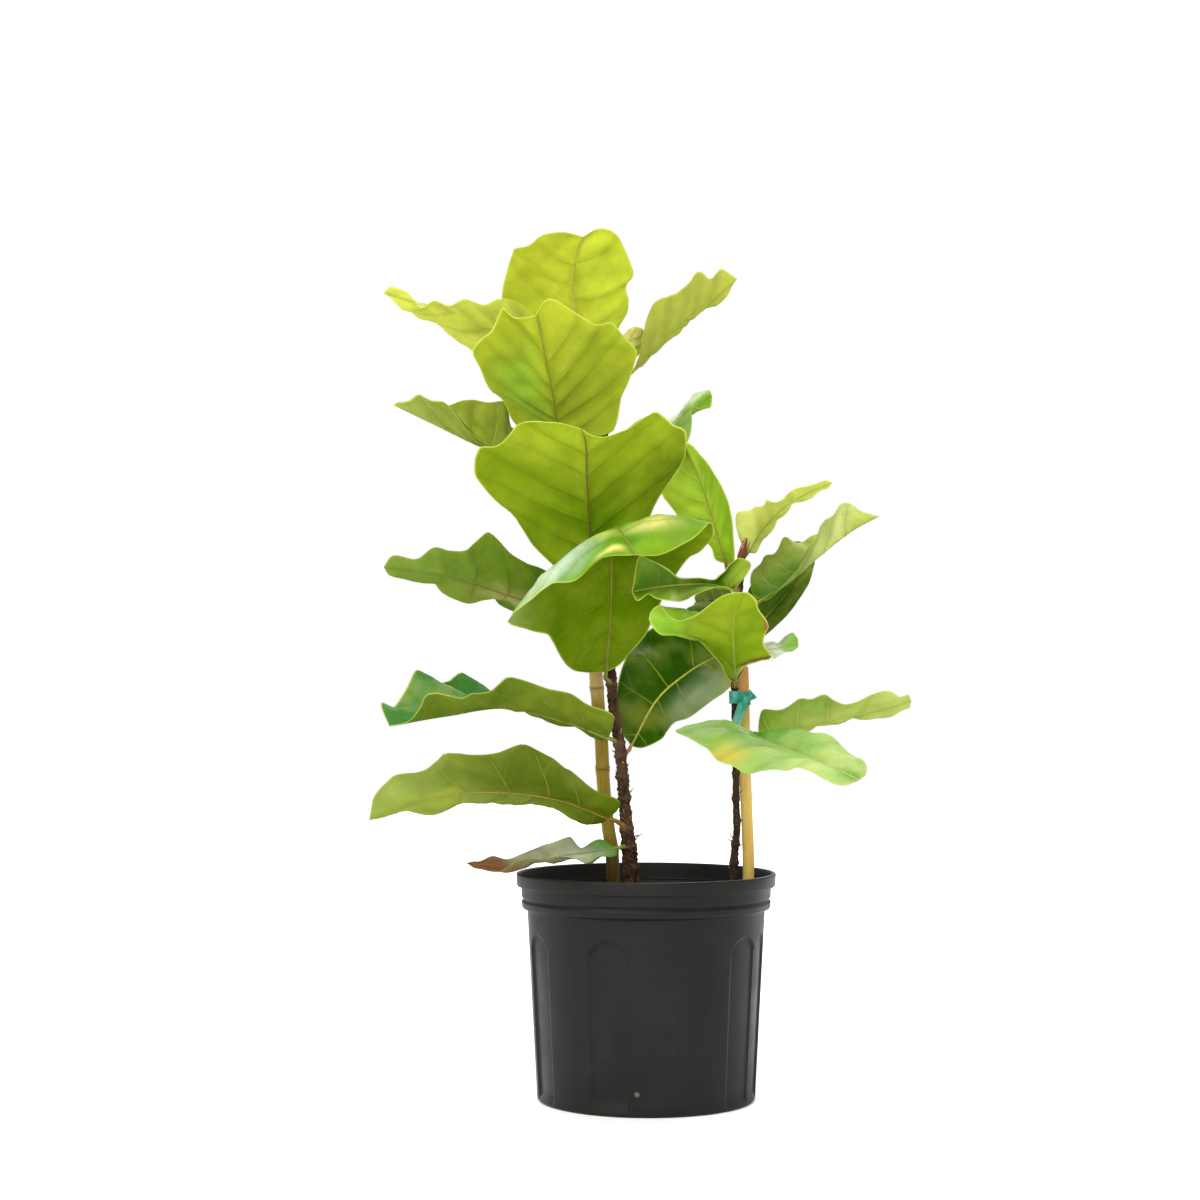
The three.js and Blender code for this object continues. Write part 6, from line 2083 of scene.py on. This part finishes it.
@dataclass
class Studio:
    """The camera, a pale floor and soft white light."""

    frame_width: float = 1200
    frame_middle: float = 498
    sensor: float = 36
    floor_width: float = 12
    floor_colour: str = "f6f5f3"
    sky_low: float = 0.45
    sky_high: float = 1.0
    lamps: tuple[tuple[str, float, float, float, float], ...] = (
        ("key", -35, 50, 50, 1.7), ("front", -15, 10, 70, 1.9), ("back", 165, 50, 60, 2.2),
    )

    def set_camera(self) -> None:
        """Puts the camera at the eye; its picture is 1200 mm wide at the pot's axis."""
        camera = new_object("camera", bpy.data.cameras.new("camera"))
        camera.location = (EYE.x * METRE, -EYE.distance * METRE, EYE.z * METRE)
        camera.rotation_euler = (math.pi / 2, 0, 0)
        camera.data.sensor_width = self.sensor
        camera.data.lens = self.sensor * EYE.distance / self.frame_width
        camera.data.shift_y = (self.frame_middle - EYE.z) / self.frame_width
        camera.data.clip_end = 50
        bpy.context.scene.camera = camera

    def build(self) -> None:
        """Builds the floor and the light."""
        bpy.context.scene.view_settings.view_transform = "Standard"
        half = self.floor_width / 2
        mesh = bpy.data.meshes.new("studio_floor")
        corners = [(-half, -half, 0), (half, -half, 0), (half, half, 0), (-half, half, 0)]
        mesh.from_pydata(corners, [], [(0, 1, 2, 3)])
        floor = new_object("studio_floor", mesh)
        material, graph, shader, _ = new_material("pale floor")
        graph.feed(shader, {"Base Color": linear(self.floor_colour), "Roughness": 0.8})
        mesh.materials.append(material)
        self._sky()
        for lamp in self.lamps:
            self._sun(*lamp)

    def _sky(self) -> None:
        """White behind the plant; it lights most from above and less from the horizon."""
        world = bpy.data.worlds.new("studio")
        world.use_nodes = True
        g = Graph(world.node_tree)
        way = g.parts(g.add("ShaderNodeTexCoord").outputs["Generated"])[2]
        seen = g.add("ShaderNodeLightPath").outputs["Is Camera Ray"]
        strength = g.most(g.span(way, -0.1, 0.8, self.sky_low, self.sky_high), seen)
        light = next(n for n in world.node_tree.nodes if n.type == "BACKGROUND")
        g.feed(light, {"Color": (1, 1, 1, 1), "Strength": strength})
        bpy.context.scene.world = world

    def _sun(self, name: str, side: float, height: float, spread: float, power: float) -> None:
        """Adds a soft far lamp, side degrees to the right of the viewer and height above the floor."""
        data = bpy.data.lights.new(name, "SUN")
        data.angle = math.radians(spread)
        data.energy = power
        lamp = new_object(name, data)
        turn, rise = math.radians(side), math.radians(height)
        source = Vector((math.sin(turn) * math.cos(rise), -math.cos(turn) * math.cos(rise), math.sin(rise)))
        lamp.rotation_euler = source.to_track_quat("Z", "Y").to_euler()


def write_sizes() -> None:
    """Updates the view layer."""
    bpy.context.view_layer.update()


def main() -> None:
    """Builds the camera, the holder, the supports, the foliage and the studio."""
    logging.basicConfig(level=logging.INFO, format="%(name)s: %(message)s")
    studio = Studio()
    studio.set_camera()
    Holder().build()
    supports = Supports()
    supports.build()
    Foliage(supports.stems).build()
    studio.build()
    write_sizes()


if __name__ == "__main__":
    main()
